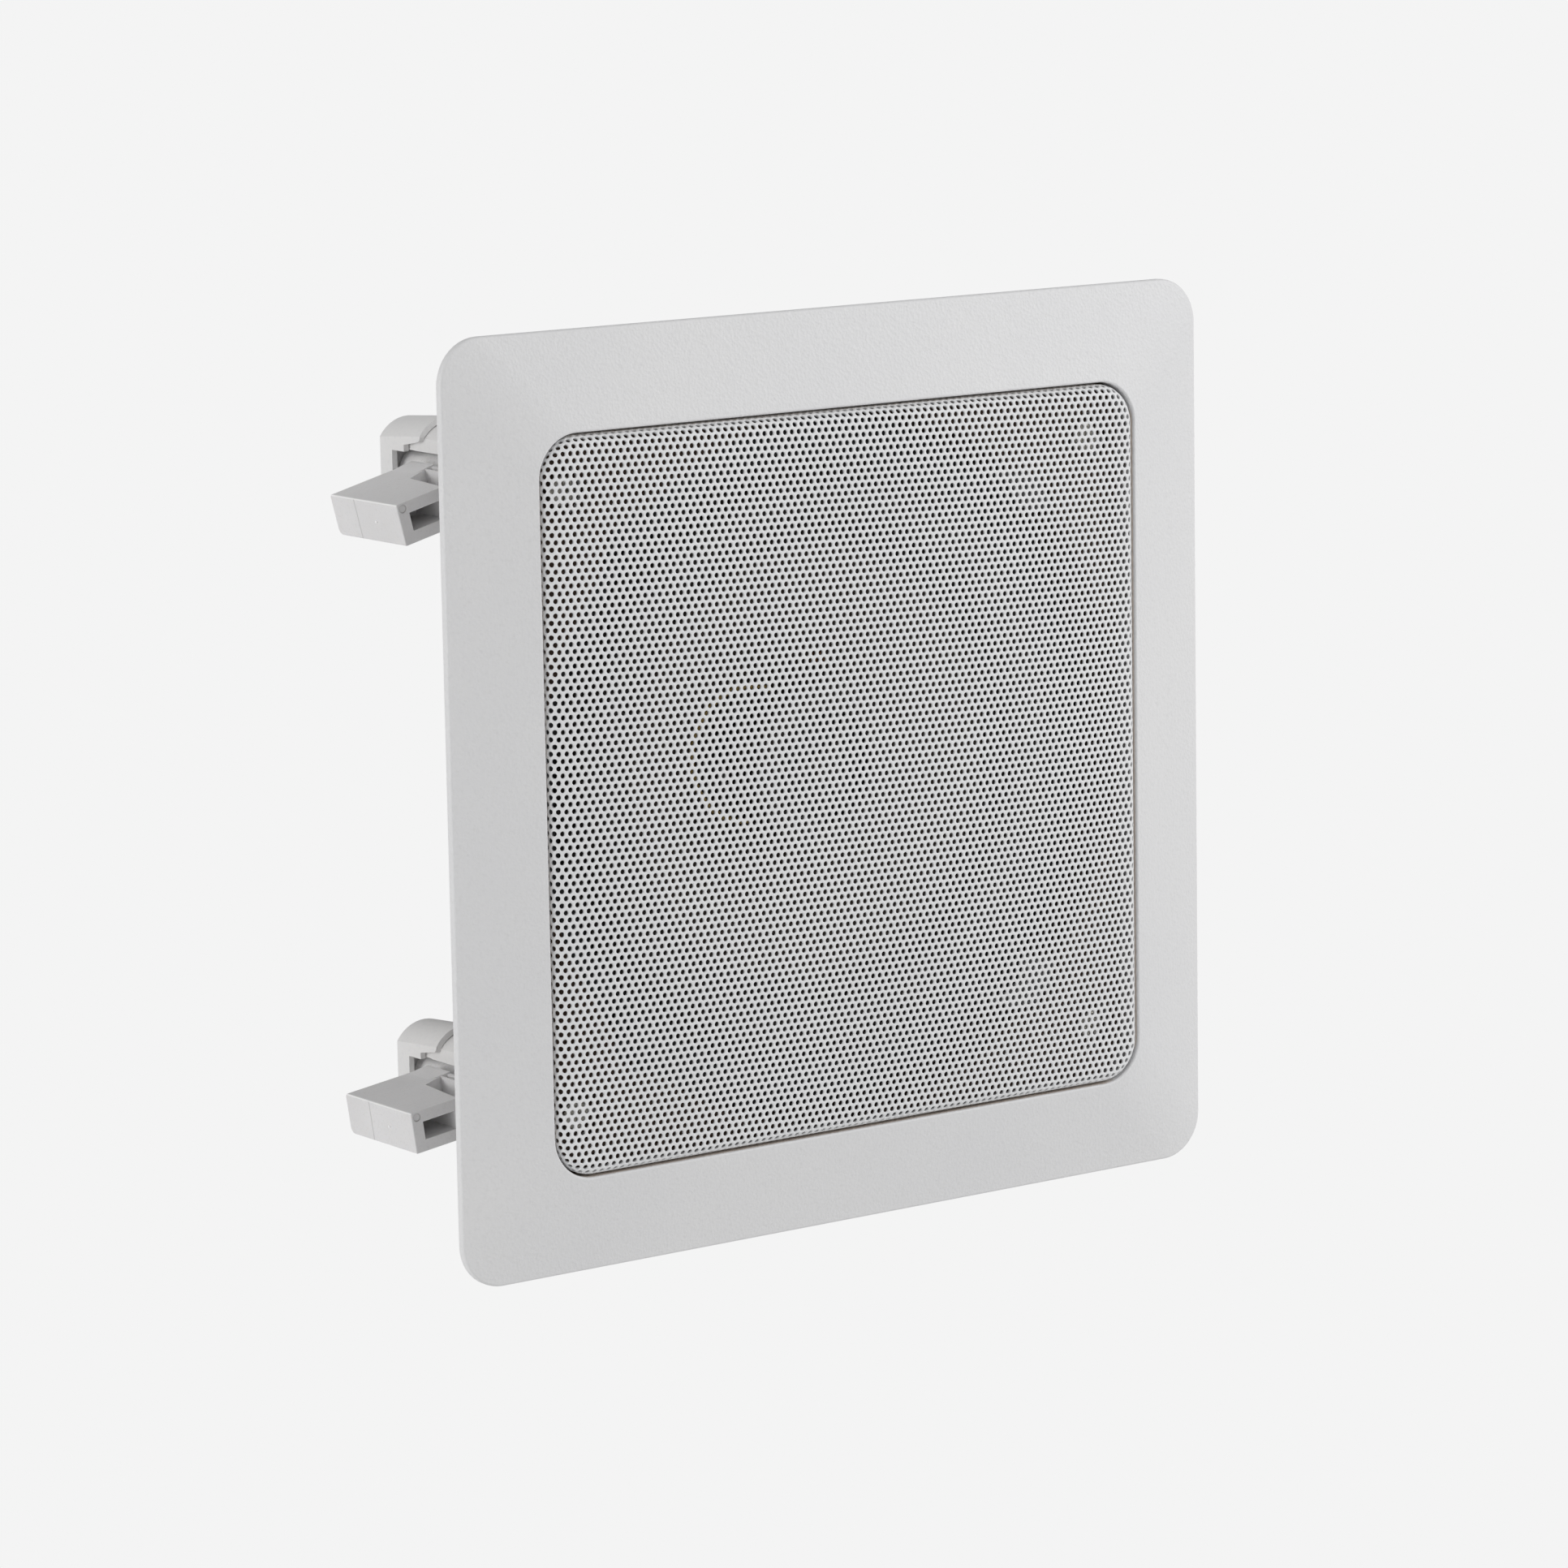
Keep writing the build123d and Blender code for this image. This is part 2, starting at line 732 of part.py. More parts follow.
# Spider: a corrugated cloth disc from the former to the basket's ledge
with BuildPart() as spider:
    first_wave = former_outer + glue_gap + spider_collar
    wave = (ledge_inner - first_wave) / spider_waves
    with BuildSketch(Plane.XY):
        with BuildLine():
            for back in (0, 1):
                y = ledge_depth - spider_cloth * (1 - back)
                Line((former_outer + glue_gap, y), (first_wave, y))
                for index in range(spider_waves):
                    left = first_wave + index * wave
                    crest = y + spider_wave * (-1) ** index
                    ThreePointArc((left, y), (left + wave / 2, crest), (left + wave, y))
                Line((ledge_inner, y), (ledge_radius, y))
            for radius in (former_outer + glue_gap, ledge_radius):
                Line((radius, ledge_depth - spider_cloth), (radius, ledge_depth))
        make_face()
    revolve(axis=Axis.Y)
save(spider, "spider")

# Magnet assembly
with BuildPart() as top_plate:
    with BuildSketch(level(magnet_front)):
        Circle(top_plate_radius)
        Circle(coil_outer + coil_gap, mode=Mode.SUBTRACT)
    extrude(amount=top_plate_thickness)
save(top_plate, "top_plate")

with BuildPart() as magnet:
    with BuildSketch(level(back_plate_front)):
        Circle(magnet_radius)
        Circle(magnet_bore, mode=Mode.SUBTRACT)
    extrude(amount=magnet_thickness)
save(magnet, "magnet")

with BuildPart() as back_plate:
    with BuildSketch(level(back_plate_front + back_plate_thickness)):
        Circle(top_plate_radius)
    extrude(amount=back_plate_thickness)
    with BuildSketch(level(back_plate_front)):
        Circle(pole_radius)
    extrude(amount=back_plate_front - pole_front)
    with BuildSketch(level(back_plate_front + back_plate_thickness)):
        Circle(pole_bore)
    extrude(amount=back_plate_front + back_plate_thickness - pole_front, mode=Mode.SUBTRACT)
save(back_plate, "back_plate")

# Tweeter on its post
with BuildPart() as tweeter_post:
    with BuildSketch(level(pole_front)):
        Circle(post_radius)
    extrude(amount=pole_front - tweeter_back)
    with BuildSketch(level(pole_front + spigot_length)):
        Circle(spigot_radius)
    extrude(amount=spigot_length)
save(tweeter_post, "tweeter_post")

with BuildPart() as tweeter_housing:
    cavity = tweeter_radius - tweeter_wall
    with BuildSketch(Plane.XY):
        Polygon(
            (0, tweeter_back),
            (tweeter_radius, tweeter_back),
            (tweeter_radius, tweeter_front),
            (guard_ledge, tweeter_front),
            (guard_ledge, tweeter_front + guard_sheet + guard_gap),
            (tweeter_lip, tweeter_front + guard_sheet + guard_gap),
            (tweeter_lip, tweeter_lip_back),
            (cavity, tweeter_lip_back),
            (cavity, tweeter_back - tweeter_wall),
            (0, tweeter_back - tweeter_wall),
            align=None,
        )
    revolve(axis=Axis.Y)
    fillet(tweeter_housing.edges().group_by(Axis.Y)[0].sort_by(SortBy.LENGTH)[-1], tweeter_wall / 2)
save(tweeter_housing, "tweeter_housing")

with BuildPart() as tweeter_guard:
    with BuildSketch(level(tweeter_front + guard_sheet + guard_gap)):
        Circle(guard_ledge - guard_gap)
        Circle(tweeter_lip, mode=Mode.SUBTRACT)
        Circle(guard_disc)
        with PolarLocations(0, 3, start_angle=60):
            Rectangle(tweeter_lip + guard_gap, guard_spoke, align=(Align.MIN, Align.CENTER))
    extrude(amount=guard_sheet)
save(tweeter_guard, "tweeter_guard")

with BuildPart() as tweeter_dome:
    rise = dome_base - dome_front
    sphere_radius = (dome_radius**2 + rise**2) / (2 * rise)
    cap_angle = math.degrees(math.asin(dome_radius / sphere_radius))
    with BuildSketch(Plane.XY):
        with BuildLine():
            for y in (dome_front, dome_front + dome_sheet):
                CenterArc((0, y + sphere_radius), sphere_radius, -90, cap_angle)
            Line((dome_radius, dome_base), (dome_radius, dome_base + dome_sheet))
            Line((0, dome_front + dome_sheet), (0, dome_front))
        make_face()
    revolve(axis=Axis.Y)
save(tweeter_dome, "tweeter_dome")

with BuildPart() as tweeter_surround:
    skirt_place = (dome_radius + glue_gap + tweeter_skirt - tweeter_roll) / 2
    with BuildSketch(Plane.XY):
        with BuildLine():
            for y in (tweeter_plate_front - dome_sheet, tweeter_plate_front):
                ThreePointArc(
                    (dome_radius + glue_gap, y),
                    (skirt_place, y - tweeter_roll),
                    (tweeter_skirt - tweeter_roll, y),
                )
                Line((tweeter_skirt - tweeter_roll, y), (tweeter_skirt, y))
            for radius in (dome_radius + glue_gap, tweeter_skirt):
                Line((radius, tweeter_plate_front - dome_sheet), (radius, tweeter_plate_front))
        make_face()
    revolve(axis=Axis.Y)
save(tweeter_surround, "tweeter_surround")

with BuildPart() as tweeter_coil:
    tweeter_coil_inner = dome_radius - tweeter_coil_wall
    with BuildSketch(Plane.XY):
        Polygon(
            (tweeter_coil_inner, dome_base + dome_sheet + glue_gap),
            (dome_radius, dome_base + dome_sheet + glue_gap),
            (dome_radius, tweeter_coil_back),
            (tweeter_coil_inner, tweeter_coil_back),
            align=None,
        )
    revolve(axis=Axis.Y)
save(tweeter_coil, "tweeter_coil")

tweeter_magnet_front = tweeter_pole_front + tweeter_pole_thickness
yoke_front = tweeter_back - tweeter_wall - yoke_floor

with BuildPart() as tweeter_pole:
    with BuildSketch(level(tweeter_magnet_front)):
        Circle(tweeter_coil_inner - tweeter_plate_gap)
    extrude(amount=tweeter_pole_thickness)
save(tweeter_pole, "tweeter_pole")

with BuildPart() as tweeter_magnet:
    with BuildSketch(level(yoke_front)):
        Circle(tweeter_magnet_radius)
    extrude(amount=yoke_front - tweeter_magnet_front)
save(tweeter_magnet, "tweeter_magnet")

with BuildPart() as tweeter_yoke:
    yoke_radius = tweeter_radius - tweeter_wall - tweeter_plate_gap
    with BuildSketch(Plane.XY):
        Polygon(
            (0, yoke_front),
            (tweeter_plate_bore, yoke_front),
            (tweeter_plate_bore, tweeter_plate_front),
            (yoke_radius, tweeter_plate_front),
            (yoke_radius, yoke_front + yoke_floor),
            (0, yoke_front + yoke_floor),
            align=None,
        )
    revolve(axis=Axis.Y)
save(tweeter_yoke, "tweeter_yoke")

# Tweeter lead: a round loop that leaves the housing's side and comes back to it
with BuildPart() as tweeter_lead:
    centre_distance = math.hypot(lead_x, lead_z)
    clear_radius = tweeter_radius + lead_radius + lead_gap
    reach = (centre_distance**2 + lead_loop**2 - clear_radius**2) / (2 * centre_distance * lead_loop)
    half_gap = math.degrees(math.acos(reach))
    towards_axis = math.degrees(math.atan2(-lead_z, -lead_x))
    with BuildLine(level(lead_depth)) as loop:
        CenterArc((lead_x, lead_z), lead_loop, towards_axis + half_gap, 360 - 2 * half_gap)
    with BuildSketch(Plane(origin=loop.line @ 0, z_dir=loop.line % 0)):
        Circle(lead_radius)
    sweep()
save(tweeter_lead, "tweeter_lead")

# Copper eyelets where the coil's leads pass through the cone
with BuildPart() as lead_eyelets:
    seat = cone_face @ eyelet_place
    along = cone_face % eyelet_place
    lift = Vector(-abs(along.Y), -abs(along.X), 0)
    for angle in eyelet_angles:
        foot = (seat + lift * eyelet_gap).rotate(Axis.Y, -angle)
        with BuildSketch(Plane(origin=foot, z_dir=lift.rotate(Axis.Y, -angle))):
            Circle(eyelet_radius)
        extrude(amount=eyelet_height)
save(lead_eyelets, "lead_eyelets")

# Leads from the board to the back of the cone, behind each eyelet: straight runs joined by round bends
board_back = top_plate_front + steel + board_thickness
with BuildPart() as tinsel_leads:
    board_side = (board_outer + lug_reach) / 2
    for angle, side in zip(eyelet_angles, (1, -1)):
        far = (seat + Vector(0, tinsel_end_gap + paper, 0)).rotate(Axis.Y, -angle)
        start = Vector(board_side, top_plate_front + steel, side * tinsel_spread)
        corner = Vector(board_side, tinsel_turn, side * tinsel_spread)
        with BuildLine() as route:
            FilletPolyline(start, corner, far, radius=tinsel_bend)
        with BuildSketch(Plane(origin=start, z_dir=corner - start)):
            Circle(tinsel_radius)
        sweep(path=route.line)
save(tinsel_leads, "tinsel_leads")

# Terminal board on the basket's lug, with its two spade terminals and the crossover capacitor
with BuildPart() as terminal_board:
    with BuildSketch(level(board_back)):
        with Locations(((board_inner + board_outer) / 2, 0)):
            Rectangle(board_outer - board_inner, board_width)
    extrude(amount=board_thickness)
save(terminal_board, "terminal_board")

with BuildPart() as terminals:
    with BuildSketch(level(board_back + tab_thickness)):
        with Locations((tab_inner, 0)):
            with GridLocations(0, tab_spacing, 1, 2):
                Rectangle(tab_outer - tab_inner, tab_width, align=(Align.MIN, Align.CENTER))
    extrude(amount=tab_thickness)
save(terminals, "terminals")

with BuildPart() as crossover_capacitor:
    wire_depth = board_back + capacitor_radius + capacitor_gap
    with BuildSketch(Plane.XY) as barrel:
        with Locations((capacitor_place, wire_depth)):
            Circle(capacitor_radius)
    extrude(amount=capacitor_length / 2, both=True)
    fillet(crossover_capacitor.edges().filter_by(GeomType.CIRCLE), capacitor_edge)
    with BuildSketch(Plane.XY) as wire:
        with Locations((capacitor_place, wire_depth)):
            Circle(wire_radius)
    extrude(amount=capacitor_length / 2 + wire_run, both=True)
    with BuildSketch(level(wire_depth)):
        with Locations((capacitor_place, 0)):
            with GridLocations(0, capacitor_length + 2 * (wire_run - wire_radius), 1, 2):
                Circle(wire_radius)
    extrude(amount=wire_depth - board_back)
save(crossover_capacitor, "crossover_capacitor")
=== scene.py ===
import bpy, math
from mathutils import Matrix, Vector


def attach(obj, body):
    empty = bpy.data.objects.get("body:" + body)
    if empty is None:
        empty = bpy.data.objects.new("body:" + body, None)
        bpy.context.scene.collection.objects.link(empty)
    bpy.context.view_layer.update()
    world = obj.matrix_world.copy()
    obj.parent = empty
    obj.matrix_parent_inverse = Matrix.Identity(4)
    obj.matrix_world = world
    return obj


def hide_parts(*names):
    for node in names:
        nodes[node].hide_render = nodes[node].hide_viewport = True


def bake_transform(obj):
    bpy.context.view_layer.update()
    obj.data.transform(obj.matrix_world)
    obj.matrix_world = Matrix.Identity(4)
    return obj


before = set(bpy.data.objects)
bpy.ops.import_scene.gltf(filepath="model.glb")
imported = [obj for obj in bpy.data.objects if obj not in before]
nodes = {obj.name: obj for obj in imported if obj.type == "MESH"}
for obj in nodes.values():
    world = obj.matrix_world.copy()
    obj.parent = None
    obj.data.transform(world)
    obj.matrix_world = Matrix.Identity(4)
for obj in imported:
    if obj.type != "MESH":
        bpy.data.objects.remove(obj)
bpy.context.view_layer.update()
print("frame loaded:", len(nodes), "nodes")


# Shader maths: a Wire is one socket, and an expression on Wires adds the Math nodes it needs

class Wire:
    def __init__(self, mat, socket):
        self.mat, self.socket = mat, socket

    def calc(self, operation, a, b):
        return self.mat.add("ShaderNodeMath", {"operation": operation}, {0: a, 1: b})

    def __add__(self, other): return self.calc("ADD", self, other)
    def __radd__(self, other): return self.calc("ADD", other, self)
    def __sub__(self, other): return self.calc("SUBTRACT", self, other)
    def __rsub__(self, other): return self.calc("SUBTRACT", other, self)
    def __mul__(self, other): return self.calc("MULTIPLY", self, other)
    def __rmul__(self, other): return self.calc("MULTIPLY", other, self)
    def __truediv__(self, other): return self.calc("DIVIDE", self, other)
    def __pow__(self, other): return self.calc("POWER", self, other)
    def __gt__(self, other): return self.calc("GREATER_THAN", self, other)


class Finish:
    def __init__(self, name):
        self.material = bpy.data.materials.new(name)
        self.material.use_nodes = True
        self.tree = self.material.node_tree
        self.shader = self.tree.nodes["Principled BSDF"]
        self.place = self.add("ShaderNodeTexCoord", {}, {}, "Object")

    def feed(self, socket, value):
        if isinstance(value, Wire):
            self.tree.links.new(value.socket, socket)
        elif isinstance(value, (tuple, list)) and socket.type == "RGBA":
            socket.default_value = tuple(value) + (1.0,) * (4 - len(value))
        else:
            socket.default_value = value

    def add(self, kind, settings, inputs, out=0):  # any node: its settings first, then its sockets
        node = self.tree.nodes.new(kind)
        for key, value in settings.items():
            if key == "stops":
                ramp = node.color_ramp.elements
                while len(ramp) < len(value):
                    ramp.new(0.5)
                for stop, (at, shade) in zip(ramp, value):
                    stop.position, stop.color = at, (shade, shade, shade, 1.0)
            else:
                setattr(node, key, value)
        for key, value in inputs.items():
            self.feed(node.inputs[key], value)
        return Wire(self, node.outputs[out])

    def noise(self, perMetre, detail=3.0, stretch=None, rough=0.55):
        place = self.place
        if stretch:
            place = self.add("ShaderNodeMapping", {}, {"Vector": place, "Scale": stretch})
        inputs = {"Vector": place, "Scale": perMetre, "Detail": detail, "Roughness": rough}
        return self.add("ShaderNodeTexNoise", {}, inputs)

    def cells(self, perMetre):
        inputs = {"Vector": self.place, "Scale": perMetre}
        return self.add("ShaderNodeTexVoronoi", {"feature": "F1"}, inputs)

    def ramp(self, factor, stops):
        return self.add("ShaderNodeValToRGB", {"stops": stops}, {"Fac": factor})

    def mix(self, factor, a, b):
        return self.add("ShaderNodeMix", {"data_type": "RGBA"}, {0: factor, 6: a, 7: b}, 2)

    def split(self):
        parts = self.tree.nodes.new("ShaderNodeSeparateXYZ")
        self.feed(parts.inputs[0], self.place)
        return [Wire(self, out) for out in parts.outputs]

    def axisRadius(self, cx=0.0, cz=0.0):  # distance from an axis that runs along Y
        x, y, z = self.split()
        return ((x - cx) * (x - cx) + (z - cz) * (z - cz)) ** 0.5

    def maths(self, operation, *inputs, clamp=False):
        settings = {"operation": operation, "use_clamp": clamp}
        return self.add("ShaderNodeMath", settings, dict(enumerate(inputs)))

    def near(self, value, at, width):  # 1 where the value is `at`, down to 0 at `width` away from it
        return self.maths("SUBTRACT", 1.0, self.maths("ABSOLUTE", value - at) / width, clamp=True)

    def set(self, **values):
        for key, value in values.items():
            self.feed(self.shader.inputs[key.replace("_", " ")], value)

    def bump(self, height, depth, strength=1.0):
        inputs = {"Height": height, "Distance": depth, "Strength": strength}
        self.set(Normal=self.add("ShaderNodeBump", {}, inputs))


def wear(fin, base, light, dark, patch, grain):  # base colour with slow patches and a fine grain
    slow = fin.noise(patch, 3.0)
    fine = fin.noise(grain, 2.0)
    tint = fin.mix(fin.ramp(slow, [(0.35, 0.0), (0.68, 1.0)]), base, light)
    return fin.mix(fin.ramp(fine, [(0.52, 0.0), (0.78, 0.6)]), tint, dark)


mouldedWhite = {"base": (0.735, 0.735, 0.742), "light": (0.755, 0.753, 0.756),
                "dark": (0.690, 0.688, 0.692), "warm": (0.760, 0.748, 0.735), "patch": 16.0, "fleck": 900.0,
                "rough": 0.42, "roughSpread": 0.10, "roughPerMetre": 260.0, "paintedShadeRough": 0.4,
                "grainPerMetre": 1900.0, "dentPerMetre": 1178.0, "grainDepth": 0.00015, "grainShare": 0.65,
                "dentShare": 0.55, "behindFrom": 0.004, "behindSlope": 250.0, "behindSmooth": 0.75,
                "paintedShade": (0.092, 0.058, 0.040), "openingHalf": 0.0874, "paintedShadeFront": -0.0022, "back": 0.0012,
                "wall": (0.82, 0.73, 0.655), "wallAt": 0.0876, "wallFront": -0.0058, "wallBlend": 0.0007,
                "cornerSum": 0.1702,
                "pocketX": 0.0775, "pocketZ": 0.0736, "pocketRadius": 0.0061, "pocketBack": 0.0042,
                "recess": 0.0872, "seat": 0.0142}


# White ABS: leather grain in front, plain and warmer behind, with dark brown painted shade under the grille,
# in the gap round it and in the clamp screw pockets
def finishMouldedWhite():
    s = mouldedWhite
    fin = Finish("mouldedWhite")
    x, y, z = fin.split()
    grain = fin.noise(s["grainPerMetre"], 2.5, rough=0.5)
    dents = fin.cells(s["dentPerMetre"])
    behind = fin.maths("MULTIPLY", y - s["behindFrom"], s["behindSlope"], clamp=True)
    base = fin.mix(behind, s["base"], s["warm"])
    colour = wear(fin, base, s["light"], s["dark"], s["patch"], s["fleck"])
    radius = fin.axisRadius()
    acrossX, acrossZ = fin.maths("ABSOLUTE", x), fin.maths("ABSOLUTE", z)
    side = fin.maths("MAXIMUM", acrossX, acrossZ)
    opening = s["cornerSum"] - acrossX - acrossZ > 0.0  # within the lip's round corners
    floor = (s["back"] - y > 0.0)
    pit = (s["recess"] - radius > 0.0) * (s["seat"] - y > 0.0)
    px, pz = acrossX - s["pocketX"], acrossZ - s["pocketZ"]
    inPocket = s["pocketRadius"] - (px * px + pz * pz) ** 0.5 > 0.0
    pocket = inPocket * (s["pocketBack"] - y > 0.0)
    # painted shade: the baffle floor, the driver's recess and the clamp screw pockets are coloured dark brown
    # where shade falls behind the grille
    paintedShadeZones = fin.maths("MAXIMUM", floor, fin.maths("MAXIMUM", pit, pocket))
    paintedShade = (s["openingHalf"] - side > 0.0) * (y - s["paintedShadeFront"] > 0.0) * paintedShadeZones * opening
    # painted warm bounce light: the opening's wall in the gap round the grille is tinted warm brownish
    wall = fin.near(side, s["wallAt"], s["wallBlend"]) * (y - s["wallFront"] > 0.0) * floor * opening
    rough = s["rough"] + s["roughSpread"] * fin.noise(s["roughPerMetre"], 2.0)
    fin.set(Base_Color=fin.mix(paintedShade, fin.mix(wall, colour, s["wall"]), s["paintedShade"]),
            Roughness=rough + s["paintedShadeRough"] * paintedShade, Specular_IOR_Level=0.4)
    relief = (grain * s["grainShare"] + dents * s["dentShare"]) * (1.0 - s["behindSmooth"] * behind)
    fin.bump(relief, s["grainDepth"], 0.7)
    return fin.material


clampNylon = {"base": (0.700, 0.692, 0.694), "light": (0.740, 0.732, 0.734), "dark": (0.640, 0.628, 0.628),
              "edge": (0.90, 0.895, 0.89), "line": (0.50, 0.485, 0.485), "hub": (0.93, 0.925, 0.92),
              "patch": 45.0, "fleck": 1500.0, "rough": 0.36, "roughSpread": 0.14,
              "flowPerMetre": 240.0, "flowStretch": (0.25, 1.0, 1.0), "flowRelief": 0.08,
              "grainPerMetre": 2600.0, "grainRelief": 0.08, "reliefDepth": 0.0002,
              "cx": 0.0775, "cz": 0.0736, "reach": 0.0305, "top": 0.005, "root": 0.0079, "hubRadius": 0.0053,
              "faceDepth": 0.0004, "edgeInset": 0.00006, "edgeWidth": 0.00034, "highlightShare": 1.6,
              "paintedLightFrom": 0.0165, "paintedLightSlope": 110.0, "paintedLightShare": 0.35,
              "parting": 0.0185, "partingWidth": 0.00026, "partingShadeShare": 0.9, "ledgeSlope": 12000.0,
              "gate": 0.0105, "gateWidth": 0.0006, "markIn": 0.0016, "markDown": 0.0014,
              "markRadius": 0.00095, "markWidth": 0.00016, "markShadeShare": 0.7,
              "slotOut": 0.0275, "slotIn": 0.0186, "slotTop": 0.0022, "slotBottom": -0.00225,
              "slotWidth": 0.0002, "slotHighlightShare": 0.8}
clampRest = {"upper_left": (-1, 1, 14.3, 0.0227), "lower_left": (-1, -1, 8.2, 0.0236),
             "upper_right": (1, 1, 0.0, 0.0236), "lower_right": (1, -1, 0.0, 0.0227)}


def finishClampNylon(name, side, height, droop, depth):  # off-white nylon with its mould's marks, with painted highlights, painted shade lines and painted light in its colour
    s = clampNylon
    fin = Finish(name)
    x, y, z = fin.split()
    dx, dz = x - side * s["cx"], z - height * s["cz"]
    c, t = side * math.cos(math.radians(droop)), side * math.sin(math.radians(droop))
    out, up, back = dx * c + dz * t, dx * t - dz * c, y - depth  # along the arm, across it, behind its face
    flow = fin.noise(s["flowPerMetre"], 3.0, stretch=s["flowStretch"])
    arm = out > s["root"]
    parting = fin.near(back, s["parting"], s["partingWidth"]) * arm
    ledge = fin.maths("MULTIPLY", back - s["parting"], s["ledgeSlope"], clamp=True) * arm
    endFace = out > s["reach"] - s["faceDepth"]
    face = 1.0 - (back > s["faceDepth"])
    outerEdge = fin.near(out, s["reach"] - s["edgeInset"], s["edgeWidth"])
    topEdge = outerEdge * fin.near(up, s["top"] - s["edgeInset"], s["edgeWidth"])
    markX, markZ = out - (s["reach"] - s["markIn"]), up - (s["top"] - s["markDown"])
    ring = fin.near((markX * markX + markZ * markZ) ** 0.5, s["markRadius"], s["markWidth"]) * face
    gateY = back - s["gate"]
    gate = fin.near((gateY * gateY + up * up) ** 0.5, 0.0, s["gateWidth"]) * endFace
    slotHigh, slotWide = (up - s["slotBottom"] > 0.0), (s["slotOut"] - out > 0.0)
    slotX = fin.near(out, s["slotOut"], s["slotWidth"]) * slotHigh * (s["slotTop"] - up > 0.0)
    slotZ = fin.near(up, s["slotTop"], s["slotWidth"]) * slotWide * (out - s["slotIn"] > 0.0)
    # painted highlights along the end face's top edge, on the gate dot and along the slot's edges
    paintedHighlight = fin.maths("MAXIMUM", topEdge * s["highlightShare"], gate * s["highlightShare"])
    paintedHighlight = fin.maths("MAXIMUM", paintedHighlight, (slotX + slotZ) * face * s["slotHighlightShare"])
    # painted light: the hub is coloured near-white for the light falling on it
    onHub = (out * out + up * up) ** 0.5 > s["hubRadius"]
    colour = wear(fin, fin.mix(onHub, s["hub"], s["base"]), s["light"], s["dark"], s["patch"], s["fleck"])
    # painted light: the arm is lightened towards the hub, as by light bounced from the hub and tower
    glow = fin.maths("MULTIPLY", s["paintedLightFrom"] - out, s["paintedLightSlope"], clamp=True) * arm
    glow = glow * fin.ramp(flow, [(0.3, 0.5), (0.6, 1.0)])
    colour = fin.mix(glow * s["paintedLightShare"], colour, s["edge"])
    # painted shade along the parting line on the end face and in the ejector mark's ring groove
    lines = fin.maths("MAXIMUM", parting * endFace * s["partingShadeShare"], ring * s["markShadeShare"])
    colour = fin.mix(lines, colour, s["line"])
    fin.set(Base_Color=fin.mix(fin.maths("MULTIPLY", paintedHighlight, 1.0, clamp=True), colour, s["edge"]),
            Roughness=s["rough"] + s["roughSpread"] * flow, Specular_IOR_Level=0.45, Subsurface_Weight=0.04,
            Subsurface_Radius=(0.002, 0.0015, 0.001))
    relief = flow * s["flowRelief"] + fin.noise(s["grainPerMetre"], 2.0) * s["grainRelief"]
    fin.bump(relief + ledge * 0.5 - parting * endFace * 0.6 - ring * 0.6, s["reliefDepth"], 0.6)
    return fin.material


grillePaint = {"base": (0.774, 0.778, 0.786), "light": (0.806, 0.810, 0.818), "dark": (0.705, 0.702, 0.698),
               "patch": 20.0, "fleck": 1300.0, "rough": 0.42, "roughSpread": 0.12, "roughPerMetre": 900.0,
               "peelPerMetre": 2400.0, "peelDepth": 0.00003}


def finishGrillePaint():  # matte powder coat with its orange peel
    s = grillePaint
    fin = Finish("grillePaint")
    fin.set(Base_Color=wear(fin, s["base"], s["light"], s["dark"], s["patch"], s["fleck"]),
            Roughness=s["rough"] + s["roughSpread"] * fin.noise(s["roughPerMetre"], 2.0),
            Specular_IOR_Level=0.4)
    fin.bump(fin.noise(s["peelPerMetre"], 2.0), s["peelDepth"], 0.5)
    return fin.material


turnedMetal = {"ringsPerMetre": 6400.0, "ringShare": 0.5, "scuffPerMetre": 400.0, "scuffStops": (0.4, 0.75),
               "roughSpread": 0.22, "depth": 0.00001}


def finishMetal(name, base, dark, rough):  # turned or plated metal with fine rings about the driver's axis
    s = turnedMetal
    fin = Finish(name)
    rings = fin.maths("SINE", fin.axisRadius() * s["ringsPerMetre"])
    scuff = fin.noise(s["scuffPerMetre"], 4.0)
    dull = fin.ramp(scuff, list(zip(s["scuffStops"], (0.0, 1.0))))
    fin.set(Base_Color=fin.mix(dull, base, dark), Metallic=1.0, Roughness=rough + s["roughSpread"] * scuff)
    fin.bump(rings * s["ringShare"] + scuff, s["depth"], 0.4)
    return fin.material


zincScrew = {"base": (0.62, 0.60, 0.54), "dark": (0.42, 0.40, 0.36), "rough": 0.26, "roughSpread": 0.2,
             "stainPerMetre": 500.0, "stainStops": (0.4, 0.8), "stainShare": 0.06,
             "pitch": 0.0007, "threadShare": 0.5, "threadDepth": 0.00022, "shankFrom": 0.003}


def finishZincScrew(name, cx, cz):  # zinc-plated screw with its thread along Y
    s = zincScrew
    fin = Finish(name)
    x, y, z = fin.split()
    turn = fin.maths("ARCTAN2", z - cz, x - cx)
    ridge = fin.maths("SINE", y * (2 * math.pi / s["pitch"]) - turn)
    shank = y > s["shankFrom"]
    stain = fin.noise(s["stainPerMetre"], 4.0)
    dull = fin.ramp(stain, list(zip(s["stainStops"], (0.0, 1.0))))
    fin.set(Base_Color=fin.mix(dull, s["base"], s["dark"]), Metallic=1.0,
            Roughness=s["rough"] + s["roughSpread"] * stain)
    fin.bump(ridge * shank * s["threadShare"] + stain * s["stainShare"], s["threadDepth"], 1.0)
    return fin.material


